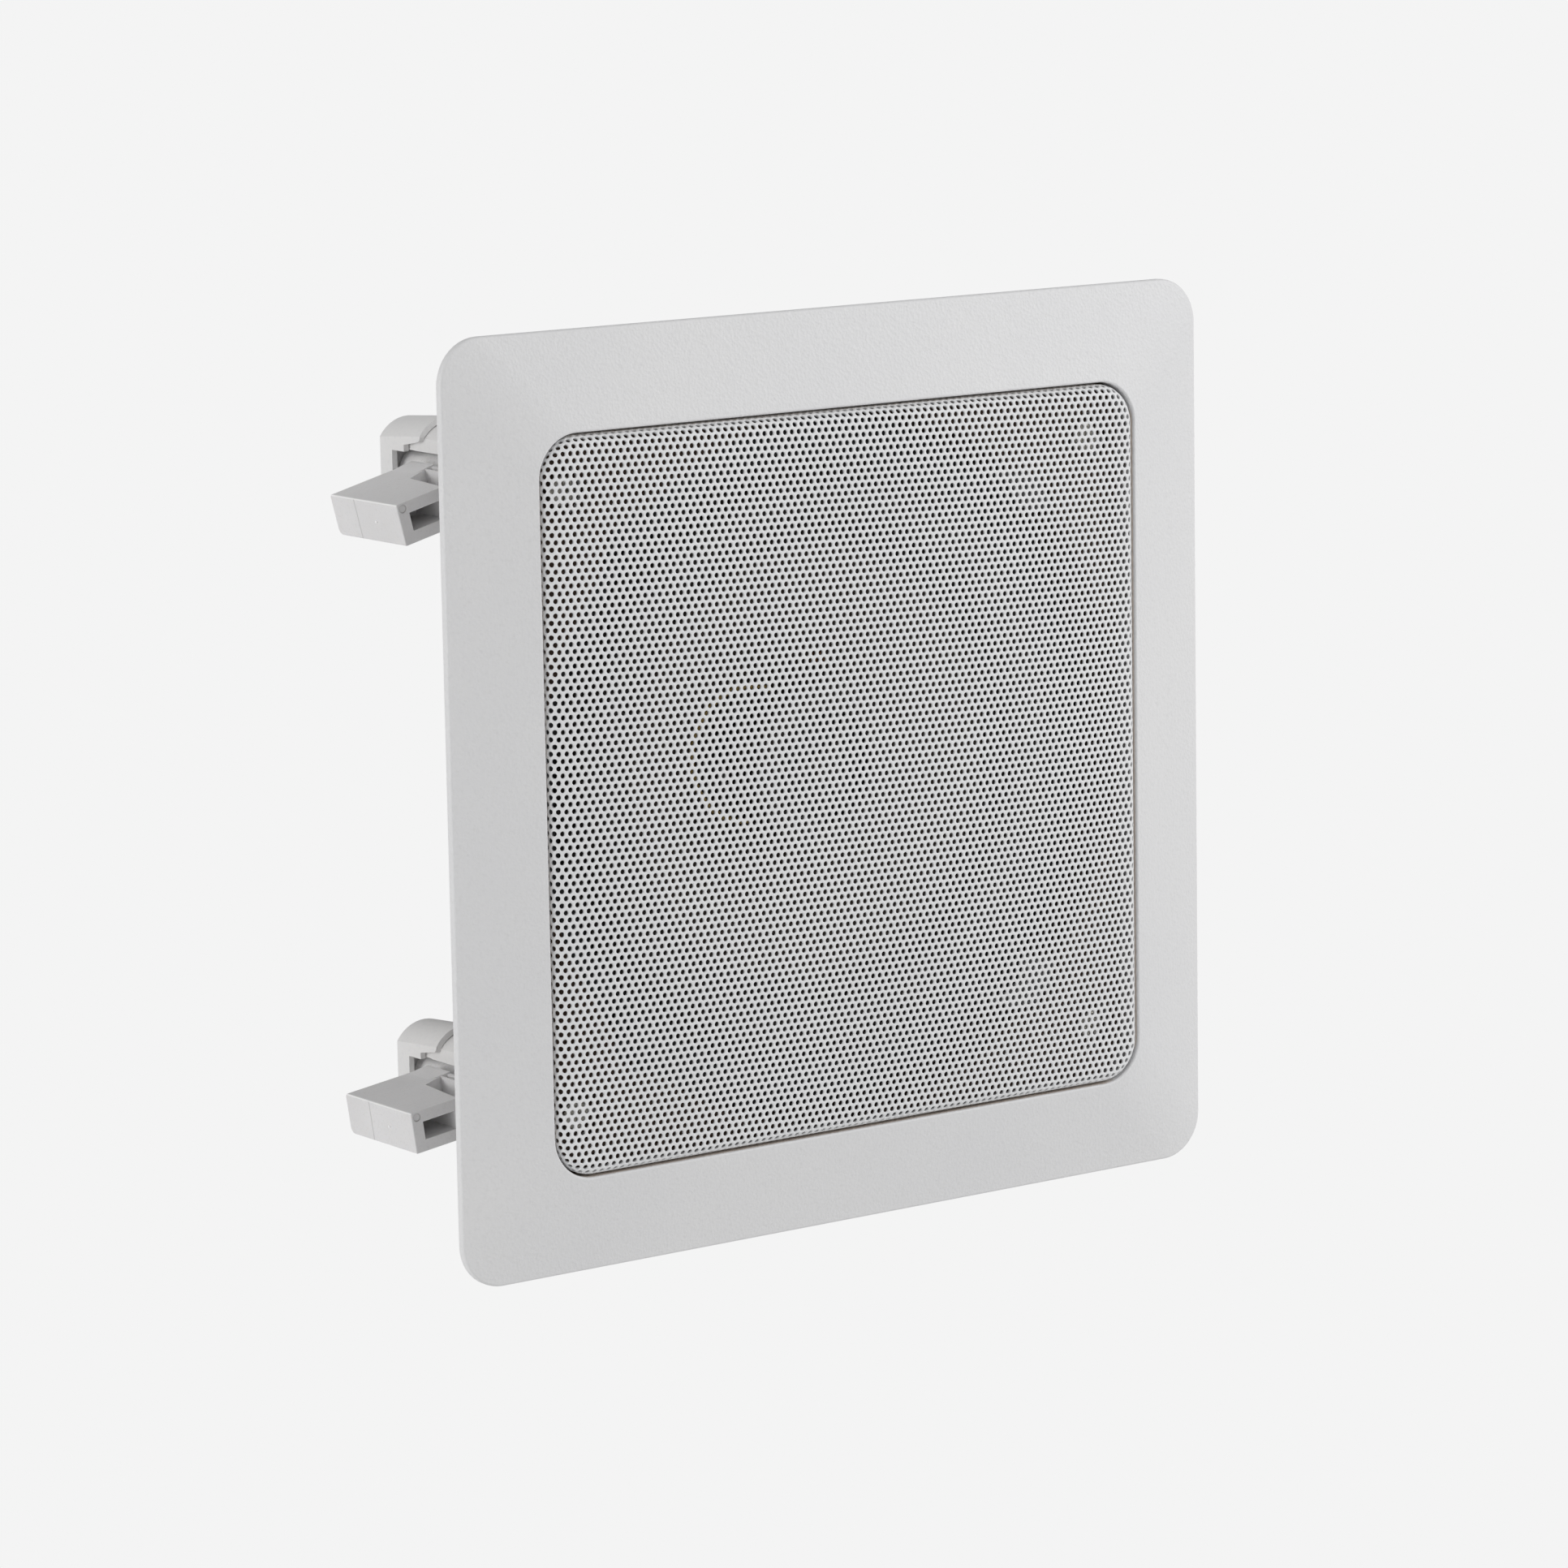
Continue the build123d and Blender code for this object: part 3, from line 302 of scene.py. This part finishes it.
blackCoat = {"base": (0.022, 0.022, 0.023), "dust": (0.06, 0.058, 0.055), "dustPerMetre": 55.0,
             "dustStops": (0.5, 0.85), "dustShare": 0.7, "roughSpread": 0.18, "peelPerMetre": 1100.0,
             "peelDepth": 0.00003}


def finishBlackCoat(name, base, rough, metal=0.0):  # black coat or moulding with a little dust on it
    s = blackCoat
    fin = Finish(name)
    peel = fin.noise(s["peelPerMetre"], 2.0)
    dust = fin.noise(s["dustPerMetre"], 4.0)
    settled = fin.ramp(dust, list(zip(s["dustStops"], (0.0, s["dustShare"]))))
    fin.set(Base_Color=fin.mix(settled, base, s["dust"]), Metallic=metal,
            Roughness=rough + s["roughSpread"] * dust)
    fin.bump(peel, s["peelDepth"], 0.5)
    return fin.material


softRubber = {"bloomPerMetre": 70.0, "bloomStops": (0.45, 0.8), "bloomLift": 0.03, "rough": 0.62,
              "roughSpread": 0.15}


def finishRubber(name, base, poresPerMetre, depth):  # dull rubber or foam with pores and a pale bloom
    s = softRubber
    fin = Finish(name)
    pores = fin.cells(poresPerMetre)
    bloom = fin.noise(s["bloomPerMetre"], 4.0)
    hazy = fin.ramp(bloom, list(zip(s["bloomStops"], (0.0, 1.0))))
    fin.set(Base_Color=fin.mix(hazy, base, tuple(part + s["bloomLift"] for part in base)),
            Roughness=s["rough"] + s["roughSpread"] * bloom)
    fin.bump(pores, depth, 0.6)
    return fin.material


conePulp = {"dark": (0.066, 0.049, 0.039), "light": (0.120, 0.094, 0.076), "rough": 0.78, "roughSpread": 0.1,
            "fibrePerMetre": 900.0, "ringsPerMetre": 1600.0, "ringShare": 0.3, "depth": 0.00012}


def finishPulp():  # pressed paper cone: fibres over faint pressed rings
    s = conePulp
    fin = Finish("conePulp")
    fibre = fin.noise(s["fibrePerMetre"], 5.0, rough=0.7)
    rings = fin.maths("SINE", fin.axisRadius() * s["ringsPerMetre"])
    fin.set(Base_Color=fin.mix(fibre, s["dark"], s["light"]), Roughness=s["rough"] + s["roughSpread"] * fibre)
    fin.bump(fibre + rings * s["ringShare"], s["depth"], 0.7)
    return fin.material


weaveCloth = {"rough": 0.7, "roughSpread": 0.1, "threadShare": 0.7, "mottle": 0.3, "mottlePerMetre": 300.0}


def finishWeave(name, base, dark, threadsPerMetre, depth):  # open weave, for cloth and braid
    s = weaveCloth
    fin = Finish(name)
    x, y, z = fin.split()
    warp = fin.maths("SINE", x * (threadsPerMetre * 2 * math.pi))
    weft = fin.maths("SINE", z * (threadsPerMetre * 2 * math.pi))
    over = warp * weft * 0.5 + 0.5
    share = over * s["threadShare"] + fin.noise(s["mottlePerMetre"]) * s["mottle"]
    fin.set(Base_Color=fin.mix(share, dark, base), Roughness=s["rough"] + s["roughSpread"] * over,
            Sheen_Weight=0.15)
    fin.bump(over, depth, 0.8)
    return fin.material


copperTurns = {"base": (0.72, 0.33, 0.16), "dark": (0.40, 0.16, 0.07), "turnsPerMetre": 4200.0, "rough": 0.3,
               "roughSpread": 0.1, "roughPerMetre": 700.0, "depth": 0.00005}


def finishWound():  # enamelled copper turns
    s = copperTurns
    fin = Finish("copperTurns")
    x, y, z = fin.split()
    turns = fin.maths("SINE", y * (s["turnsPerMetre"] * 2 * math.pi))
    fin.set(Base_Color=fin.mix(turns * 0.5 + 0.5, s["dark"], s["base"]), Metallic=0.85, Coat_Weight=0.4,
            Roughness=s["rough"] + s["roughSpread"] * fin.noise(s["roughPerMetre"]))
    fin.bump(turns, s["depth"], 0.8)
    return fin.material


ferrite = {"dark": (0.035, 0.035, 0.038), "light": (0.085, 0.083, 0.082), "rough": 0.72, "roughSpread": 0.15,
           "chipPerMetre": 160.0, "grainPerMetre": 900.0, "grainShare": 0.3, "depth": 0.00015}


def finishFerrite():  # sintered ferrite, chalky and chipped
    s = ferrite
    fin = Finish("ferrite")
    chip = fin.noise(s["chipPerMetre"], 6.0, rough=0.65)
    fin.set(Base_Color=fin.mix(chip, s["dark"], s["light"]), Roughness=s["rough"] + s["roughSpread"] * chip)
    fin.bump(chip + fin.cells(s["grainPerMetre"]) * s["grainShare"], s["depth"], 0.6)
    return fin.material


plainFinish = {"patchShare": 0.08, "roughSpread": 0.15}


def finishPlain(name, base, light, rough, grain, depth, coat=0.0):  # smooth film, board or sleeve
    s = plainFinish
    fin = Finish(name)
    slow = fin.noise(grain * s["patchShare"], 3.0)
    fine = fin.noise(grain, 3.0)
    fin.set(Base_Color=fin.mix(slow, base, light), Coat_Weight=coat,
            Roughness=rough + s["roughSpread"] * fine)
    fin.bump(fine, depth, 0.5)
    return fin.material


finishes = {
    "mouldedWhite": finishMouldedWhite(),
    "grillePaint": finishGrillePaint(),
    "basketCoat": finishBlackCoat("basketCoat", blackCoat["base"], 0.38),
    "blackScrew": finishBlackCoat("blackScrew", (0.03, 0.03, 0.03), 0.3, 0.6),
    "tweeterMoulding": finishBlackCoat("tweeterMoulding", (0.050, 0.038, 0.031), 0.45),
    "surroundRubber": finishRubber("surroundRubber", (0.042, 0.033, 0.028), 1400.0, 0.00004),
    "gasketFoam": finishRubber("gasketFoam", (0.03, 0.03, 0.03), 2600.0, 0.00015),
    "conePulp": finishPulp(),
    "spiderCloth": finishWeave("spiderCloth", (0.50, 0.34, 0.13), (0.26, 0.16, 0.06), 1500.0, 0.0001),
    "domeSilk": finishWeave("domeSilk", (0.075, 0.072, 0.07), (0.03, 0.03, 0.03), 3500.0, 0.00004),
    "copperTurns": finishWound(),
    "eyeletCopper": finishMetal("eyeletCopper", (0.76, 0.40, 0.22), (0.50, 0.24, 0.12), 0.28),
    "motorSteel": finishMetal("motorSteel", (0.52, 0.52, 0.51), (0.38, 0.37, 0.35), 0.3),
    "formerFoil": finishMetal("formerFoil", (0.75, 0.75, 0.76), (0.6, 0.6, 0.6), 0.28),
    "tinnedBrass": finishMetal("tinnedBrass", (0.70, 0.66, 0.55), (0.52, 0.44, 0.28), 0.25),
    "ferrite": finishFerrite(),
    "leadSleeve": finishPlain("leadSleeve", (0.42, 0.27, 0.08), (0.52, 0.36, 0.12), 0.4, 900.0, 0.00004),
    "tinselBraid": finishWeave("tinselBraid", (0.62, 0.34, 0.18), (0.30, 0.15, 0.07), 2600.0, 0.00012),
    "phenolic": finishPlain("phenolic", (0.20, 0.09, 0.04), (0.27, 0.13, 0.06), 0.42, 1200.0, 0.00004, 0.2),
    "shrinkSleeve": finishPlain("shrinkSleeve", (0.03, 0.06, 0.17), (0.05, 0.09, 0.22), 0.25, 800.0,
                                0.00003, 0.3),
}
wears = {
    "mouldedWhite": ["frame"],
    "grillePaint": ["grille"],
    "basketCoat": ["driver_basket"],
    "gasketFoam": ["driver_gasket"],
    "blackScrew": ["driver_screws"],
    "surroundRubber": ["woofer_surround"],
    "conePulp": ["woofer_cone"],
    "formerFoil": ["voice_coil_former"],
    "copperTurns": ["voice_coil", "tweeter_coil"],
    "spiderCloth": ["spider"],
    "motorSteel": ["top_plate", "back_plate", "tweeter_pole", "tweeter_yoke"],
    "ferrite": ["magnet", "tweeter_magnet"],
    "tweeterMoulding": ["tweeter_post", "tweeter_housing", "tweeter_guard"],
    "domeSilk": ["tweeter_dome", "tweeter_surround"],
    "leadSleeve": ["tweeter_lead"],
    "eyeletCopper": ["lead_eyelets"],
    "tinselBraid": ["tinsel_leads"],
    "phenolic": ["terminal_board"],
    "tinnedBrass": ["terminals"],
    "shrinkSleeve": ["crossover_capacitor"],
}
for corner, (side, height, droop, depth) in clampRest.items():
    armFinish, screwFinish = "clampNylon_" + corner, "zincScrew_" + corner
    wears[armFinish], wears[screwFinish] = ["clamp_arm_" + corner], ["clamp_screw_" + corner]
    finishes[armFinish] = finishClampNylon(armFinish, side, height, droop, depth)
    finishes[screwFinish] = finishZincScrew(screwFinish, side * clampNylon["cx"], height * clampNylon["cz"])
for finish, names in wears.items():
    for name in names:
        slots = nodes[name].data.materials
        if len(slots) == 0:
            slots.append(finishes[finish])
        for i in range(len(slots)):
            slots[i] = finishes[finish]
print("finishes on", sum(len(names) for names in wears.values()), "nodes")


def newPiece(name, verts, faces, finish, body, smooth=True):
    mesh = bpy.data.meshes.new(name)
    mesh.from_pydata(verts, [], faces)
    mesh.update()
    for poly in mesh.polygons:
        poly.use_smooth = smooth
    mesh.materials.append(finishes[finish])
    piece = bpy.data.objects.new(name, mesh)
    bpy.context.scene.collection.objects.link(piece)
    if body:
        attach(piece, body)
    return piece


# The grille's real perforation: a flat sheet of small holes, then its edge rolled back all round

perforation = {"along": (1.9853, -0.0541), "across": (1.0457, 1.6666), "start": (0.088, 1.347), "span": 84,
               "holeRadius": 0.63, "sheet": 0.6, "flatHalf": 84.15, "flatCorner": 7.15, "roll": 2.85,
               "front": -7.6, "back": -1.0, "rim": 0.9, "overhang": 1.3, "paintEdge": 0.10, "crown": 3.36,
               "crownRound": 0.32, "half": 87.0, "columnHalf": 30.0, "probe": 1e-4}


def crownShare(t):  # the crown's height across the grille: 1 in the middle, 0 at the edge
    square = min((t / perforation["half"]) ** 2, 1.0)
    return 1 - perforation["crownRound"] * square - (1 - perforation["crownRound"]) * square * square


def rollBack(x, z, lift):  # sheet point (x, z), lift millimetres behind its front face, to the formed pan
    s = perforation
    inner = s["flatHalf"] - s["flatCorner"]
    dx, dz = max(abs(x) - inner, 0.0), max(abs(z) - inner, 0.0)
    far = math.hypot(dx, dz)
    over = far - s["flatCorner"]
    crown = s["crown"] * crownShare(x) * crownShare(z)
    if over <= 0.0:
        return (x / 1000, (s["front"] + lift - crown) / 1000, z / 1000)
    nx, nz = math.copysign(dx / far, x), math.copysign(dz / far, z)
    baseX, baseZ = x - nx * over, z - nz * over
    turn = min(over / s["roll"], math.pi / 2)
    radius = s["roll"] - lift
    out = radius * math.sin(turn)
    depth = s["front"] + s["roll"] - radius * math.cos(turn) + max(over - s["roll"] * math.pi / 2, 0.0)
    depth -= crown * math.cos(turn)
    return ((baseX + nx * out) / 1000, depth / 1000, (baseZ + nz * out) / 1000)


def outlineGap(x, z):  # how far a sheet point is inside the blank's outline
    s = perforation
    inner = s["flatHalf"] - s["flatCorner"]
    reach = s["flatCorner"] + s["roll"] * math.pi / 2 + (s["back"] - s["front"] - s["roll"])
    dx, dz = abs(x) - inner, abs(z) - inner
    if dx > 0 and dz > 0:
        return reach - math.hypot(dx, dz)
    return reach - max(dx, dz)


def makePerforatedSheet():
    s = perforation
    (ax, az), (bx, bz) = s["along"], s["across"]
    corners = []  # hexagon corners around a hole, from the lattice's own directions
    steps = [(ax, az), (bx, bz), (bx - ax, bz - az), (-ax, -az), (-bx, -bz), (ax - bx, az - bz)]
    for k in range(6):
        (px, pz), (qx, qz) = steps[k], steps[(k + 1) % 6]
        corners.append(((px + qx) / 3, (pz + qz) / 3))
    angles = [math.atan2(z, x) for x, z in corners]
    ring = []
    for k in range(6):
        a0, a1 = angles[k], angles[(k + 1) % 6]
        if a1 < a0:
            a1 += 2 * math.pi
        ring += [a0, (a0 + a1) / 2]
    columns, rows = ("left", "middle", "right"), ("upper", "lower")
    parts = {(column, row): ([], [], {}) for column in columns for row in rows}
    for i in range(-s["span"], s["span"] + 1):
        for j in range(-s["span"], s["span"] + 1):
            cx = s["start"][0] + i * ax + j * bx
            cz = s["start"][1] + i * az + j * bz
            if outlineGap(cx, cz) < -s["overhang"]:
                continue
            column = "middle" if abs(cx) < s["columnHalf"] else "right" if cx > 0 else "left"
            verts, faces, seen = parts[(column, "upper" if cz >= 0 else "lower")]

            def corner(k, lift):
                x, z = cx + corners[k][0], cz + corners[k][1]
                gap = outlineGap(x, z)
                if gap < 0:  # pull corners beyond the blank's edge back onto it
                    x2, z2 = x - math.copysign(s["probe"], x), z - math.copysign(s["probe"], z)
                    gx, gz = outlineGap(x2, z) - gap, outlineGap(x, z2) - gap
                    size = math.hypot(gx, gz)
                    x -= math.copysign(gx / size, x) * -gap
                    z -= math.copysign(gz / size, z) * -gap
                key = (round(x, 3), round(z, 3), lift)
                if key not in seen:
                    seen[key] = len(verts)
                    verts.append(rollBack(x, z, lift))
                return seen[key]

            front = [corner(k, 0.0) for k in range(6)]
            rear = [corner(k, s["sheet"]) for k in range(6)]
            if outlineGap(cx, cz) < s["rim"]:  # plain margin along the cut edge
                if len(set(front)) > 2:
                    faces.append(list(dict.fromkeys(front)))
                    faces.append(list(dict.fromkeys(rear))[::-1])
                continue
            loops = []
            for lift, radius in ((0.0, s["holeRadius"] + s["paintEdge"]), (s["paintEdge"], s["holeRadius"]),
                                 (s["sheet"], s["holeRadius"])):
                loops.append(len(verts))
                for a in ring:
                    verts.append(rollBack(cx + radius * math.cos(a), cz + radius * math.sin(a), lift))
            for k in range(6):
                n = (k + 1) % 6
                h0, h1, h2 = 2 * k, 2 * k + 1, (2 * k + 2) % 12
                for edge, at, flip in ((front, loops[0], False), (rear, loops[2], True)):
                    tris = [(edge[k], at + h1, at + h0), (edge[k], edge[n], at + h1)]
                    tris.append((edge[n], at + h2, at + h1))
                    faces += [tri[::-1] if flip else tri for tri in tris]
            for upper, lower in ((loops[0], loops[1]), (loops[1], loops[2])):
                for h in range(12):
                    g = (h + 1) % 12
                    faces.append((upper + h, upper + g, lower + g, lower + h))
    for (column, row), (verts, faces, seen) in parts.items():
        name = "grille_sheet_" + row + "_" + column
        piece = newPiece(name, verts, faces, "grillePaint", "speaker_frame")
        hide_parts("grille")
        print(name, sum(len(p.vertices) - 2 for p in piece.data.polygons), "triangles")


makePerforatedSheet()


# Soft ring pieces, each cut into sectors

ringSectors = {"count": 16, "steps": 6}


def makeBendingRing(label, profile, outerEnd, innerEnd, finish, node):
    count, steps = ringSectors["count"], ringSectors["steps"]
    for sector in range(count):
        middle = 2 * math.pi * (sector + 0.5) / count
        verts, faces = [], []
        size = len(profile)
        for i in range(steps + 1):
            a = 2 * math.pi * (sector + i / steps) / count
            verts += [(r * math.cos(a) / 1000, y / 1000, r * math.sin(a) / 1000) for r, y in profile]
        for i in range(steps):
            for k in range(size):
                m = (k + 1) % size
                faces.append((i * size + k, i * size + m, (i + 1) * size + m, (i + 1) * size + k))
        piece = newPiece(f"{label}_{sector + 1:02d}", verts, faces, finish, None)
        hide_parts(node)
        ray = Vector((math.cos(middle), 0.0, math.sin(middle))) / 1000
        ray * outerEnd
        ray * innerEnd
        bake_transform(piece)


surroundRoll = {"middle": 63.7, "radius": 6.3, "rubber": 0.8, "foot": 4.5, "rim": 11.0, "steps": 18,
                "underCone": 0.5}


def makeSurround():
    s = surroundRoll
    half, centre = s["rubber"] / 2, s["rim"] - s["rubber"] / 2
    outer, inner = s["radius"] + half, s["radius"] - half
    middle, rim, face = s["middle"], s["rim"], s["rim"] - s["rubber"]
    arc = [math.pi * k / s["steps"] for k in range(s["steps"] + 1)]
    top = [(middle - outer * math.cos(a), centre - outer * math.sin(a)) for a in arc]
    under = [(middle - inner * math.cos(a), centre - inner * math.sin(a)) for a in arc]
    profile = [(middle - inner - s["foot"], rim), (middle - inner - s["foot"], face)]
    profile += [(r, min(y, face)) for r, y in top]
    profile += [(middle + inner + s["foot"], face), (middle + inner + s["foot"], rim), (middle + inner, rim)]
    profile += under[::-1] + [(middle - inner, rim)]
    makeBendingRing("woofer_surround", profile[::-1], middle + inner, middle - inner - s["underCone"],
                    "surroundRubber", "woofer_surround")


spiderWaves = {"inner": 13.15, "collar": 15.15, "ledge": 44.5, "outer": 51.5, "back": 37.0, "cloth": 0.5,
               "waves": 8, "height": 1.1, "steps": 6}


def makeSpider():
    s = spiderWaves
    wave = (s["ledge"] - s["collar"]) / s["waves"]
    line = [(s["inner"], 0.0)]
    for i in range(s["waves"]):
        for k in range(s["steps"]):
            t = k / s["steps"]
            line.append((s["collar"] + (i + t) * wave, math.sin(math.pi * t) * s["height"] * (-1) ** i))
    line += [(s["ledge"], 0.0), (s["outer"], 0.0)]
    profile = [(r, s["back"] + y) for r, y in line]
    profile += [(r, s["back"] - s["cloth"] + y) for r, y in reversed(line)]
    makeBendingRing("spider", profile, s["ledge"], s["collar"], "spiderCloth", "spider")


# Twisted tinsel leads, from the terminal board round one bend to the back of the cone

tinselLeads = {"foot": (60.5, 45.4, 6.5), "turn": 30.0, "bend": 6.0, "coneRadius": 26.37, "coneDepth": 26.18,
               "upperAngle": 61.0, "lowerAngle": -50.0, "radius": 0.6, "groove": 0.13, "strands": 3,
               "lay": 7.0, "step": 0.7, "sides": 18}


def makeTinselLead(label, side, angle):
    s = tinselLeads
    x, y, z = s["foot"]
    foot, corner = Vector((x, y, side * z)), Vector((x, s["turn"], side * z))
    angle = math.radians(angle)
    tip = Vector((s["coneRadius"] * math.cos(angle), s["coneDepth"], s["coneRadius"] * math.sin(angle)))
    into, away = (corner - foot).normalized(), (tip - corner).normalized()
    turn = into.angle(away)
    cut = s["bend"] * math.tan(turn / 2)
    inward = (away - into * into.dot(away)).normalized()
    across = into.cross(inward)
    bendStart, bendEnd = corner - into * cut, corner + away * cut
    centre = bendStart + inward * s["bend"]
    route = []  # a point and a direction for each ring of the tube
    for begin, end, heading in ((foot, bendStart, into), (bendStart, bendEnd, None), (bendEnd, tip, away)):
        length = s["bend"] * turn if heading is None else (end - begin).length
        count = max(2, round(length / s["step"]))
        for k in range(count if end is not tip else count + 1):
            t = k / count
            if heading is None:
                ahead = into * math.cos(t * turn) + inward * math.sin(t * turn)
                route.append((centre + across.cross(ahead) * -s["bend"], ahead))
            else:
                route.append((begin.lerp(end, t), heading))
    verts, faces, sides, along = [], [], s["sides"], 0.0
    for i, (point, ahead) in enumerate(route):
        along += (point - route[i - 1][0]).length if i else 0.0
        for k in range(sides):
            a = 2 * math.pi * k / sides
            wave = 0.5 + 0.5 * math.cos(s["strands"] * (a - 2 * math.pi * along / s["lay"]))
            out = across * math.cos(a) + ahead.cross(across) * math.sin(a)
            verts.append((point + out * (s["radius"] - s["groove"] * wave)) / 1000)
    for i in range(len(route) - 1):
        for k in range(sides):
            m = (k + 1) % sides
            faces.append((i * sides + k, i * sides + m, (i + 1) * sides + m, (i + 1) * sides + k))
    faces.append(list(range(sides))[::-1])
    faces.append([(len(route) - 1) * sides + k for k in range(sides)])
    piece = newPiece("tinsel_lead_" + label, verts, faces, "tinselBraid", None)
    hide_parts("tinsel_leads")
    bendEnd / 1000
    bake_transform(piece)


makeSurround()
makeSpider()
makeTinselLead("upper", 1, tinselLeads["upperAngle"])
makeTinselLead("lower", -1, tinselLeads["lowerAngle"])


# Camera at the photograph's place, found from the plate's own edges

photoCamera = {"focalPixels": 7518.012, "pixels": 1932, "yaw": 0.626279067, "pitch": 0.170057358,
               "roll": -0.0174856873, "offset": (12.5489510, -3.74418914, 1464.35734), "sensor": 36.0}


def makeCamera():
    s = photoCamera
    yaw, pitch, roll = s["yaw"], s["pitch"], s["roll"]
    look = Vector((math.sin(yaw) * math.cos(pitch), math.cos(yaw) * math.cos(pitch), -math.sin(pitch)))
    right = Vector((math.cos(yaw), -math.sin(yaw), 0.0))
    up = right.cross(look)
    right, up = right * math.cos(roll) + up * math.sin(roll), up * math.cos(roll) - right * math.sin(roll)
    tx, ty, tz = s["offset"]
    place = -(right * tx - up * ty + look * tz) / 1000
    camera = bpy.data.objects.new("camera", bpy.data.cameras.new("camera"))
    bpy.context.scene.collection.objects.link(camera)
    camera.matrix_world = Matrix((right, up, -look)).transposed().to_4x4()
    camera.matrix_world.translation = place
    camera.data.sensor_width = camera.data.sensor_height = s["sensor"]
    camera.data.lens = s["focalPixels"] / s["pixels"] * s["sensor"]
    camera.data.clip_start = 0.01
    bpy.context.scene.camera = camera


studio = {"background": 0.9047, "sky": 0.472, "paper": (0.86, 0.86, 0.86), "floorHeight": -0.45,
          "floorSize": 8.0, "near": 0.50, "blend": 0.25,
          "key": {"towards": (0.50, -0.62, 0.60), "far": 1.5, "size": 0.7, "power": 3.6},
          "right": {"towards": (0.75, -0.55, 0.35), "far": 1.1, "size": 0.5, "power": 3.7},
          "left": {"towards": (-0.95, 0.12, 0.20), "far": 2.0, "size": 0.8, "power": 9.0},
          "low": {"towards": (-0.92, -0.15, 0.05), "far": 2.0, "size": 0.8, "power": 3.4},
          "fill": {"towards": (-0.62, -0.75, -0.10), "far": 2.0, "size": 1.0, "power": 1.7}}


def makeLamp(name, towards, far, size, power):
    lamp = bpy.data.objects.new(name, bpy.data.lights.new(name, "AREA"))
    bpy.context.scene.collection.objects.link(lamp)
    lamp.data.shape, lamp.data.size, lamp.data.energy = "DISK", size, power
    lamp.location = Vector(towards).normalized() * far
    lamp.rotation_euler = Vector(towards).to_track_quat("Z", "Y").to_euler()


def makeStudio():
    s = studio
    world = bpy.data.worlds.new("studio")
    bpy.context.scene.world = world
    world.use_nodes = True
    tree = world.node_tree
    tree.nodes.clear()
    out = tree.nodes.new("ShaderNodeOutputWorld")
    blend = tree.nodes.new("ShaderNodeMixShader")
    path = tree.nodes.new("ShaderNodeLightPath")
    seen = tree.nodes.new("ShaderNodeMath")
    seen.operation = "MAXIMUM"
    tree.links.new(path.outputs["Is Camera Ray"], seen.inputs[0])
    tree.links.new(path.outputs["Is Transmission Ray"], seen.inputs[1])
    for slot, strength in ((1, s["sky"]), (2, s["background"])):
        back = tree.nodes.new("ShaderNodeBackground")
        back.inputs["Strength"].default_value = strength
        back.inputs["Color"].default_value = (1.0, 1.0, 1.0, 1.0)
        tree.links.new(back.outputs[0], blend.inputs[slot])
    tree.links.new(seen.outputs[0], blend.inputs[0])
    tree.links.new(blend.outputs[0], out.inputs["Surface"])

    paper = Finish("studioPaper")
    x, y, z = paper.split()
    away = ((x * x + y * y) ** 0.5 - s["near"]) / s["blend"]
    path = paper.tree.nodes.new("ShaderNodeLightPath")
    seenBy = [Wire(paper, path.outputs[ray]) for ray in ("Is Camera Ray", "Is Glossy Ray")]
    far = paper.maths("MULTIPLY", away, 1.0, clamp=True)
    glow = paper.add("ShaderNodeEmission", {}, {"Color": (1.0, 1.0, 1.0), "Strength": s["background"]})
    paper.set(Base_Color=s["paper"], Roughness=0.9)
    surface = Wire(paper, paper.shader.outputs[0])
    share = paper.maths("MAXIMUM", *seenBy) * far
    both = paper.add("ShaderNodeMixShader", {}, {0: share, 1: surface, 2: glow})
    paper.tree.links.new(both.socket, paper.tree.nodes["Material Output"].inputs["Surface"])
    half = s["floorSize"] / 2
    mesh = bpy.data.meshes.new("floor")
    mesh.from_pydata([(-half, -half, s["floorHeight"]), (half, -half, s["floorHeight"]),
                      (half, half, s["floorHeight"]), (-half, half, s["floorHeight"])], [], [(0, 1, 2, 3)])
    mesh.materials.append(paper.material)
    floor = bpy.data.objects.new("floor", mesh)
    bpy.context.scene.collection.objects.link(floor)
    for name in ("key", "right", "left", "low", "fill"):
        makeLamp(name + "Lamp", **s[name])
    bpy.context.scene.view_settings.view_transform = "Standard"


makeCamera()
makeStudio()
print("camera and studio set")
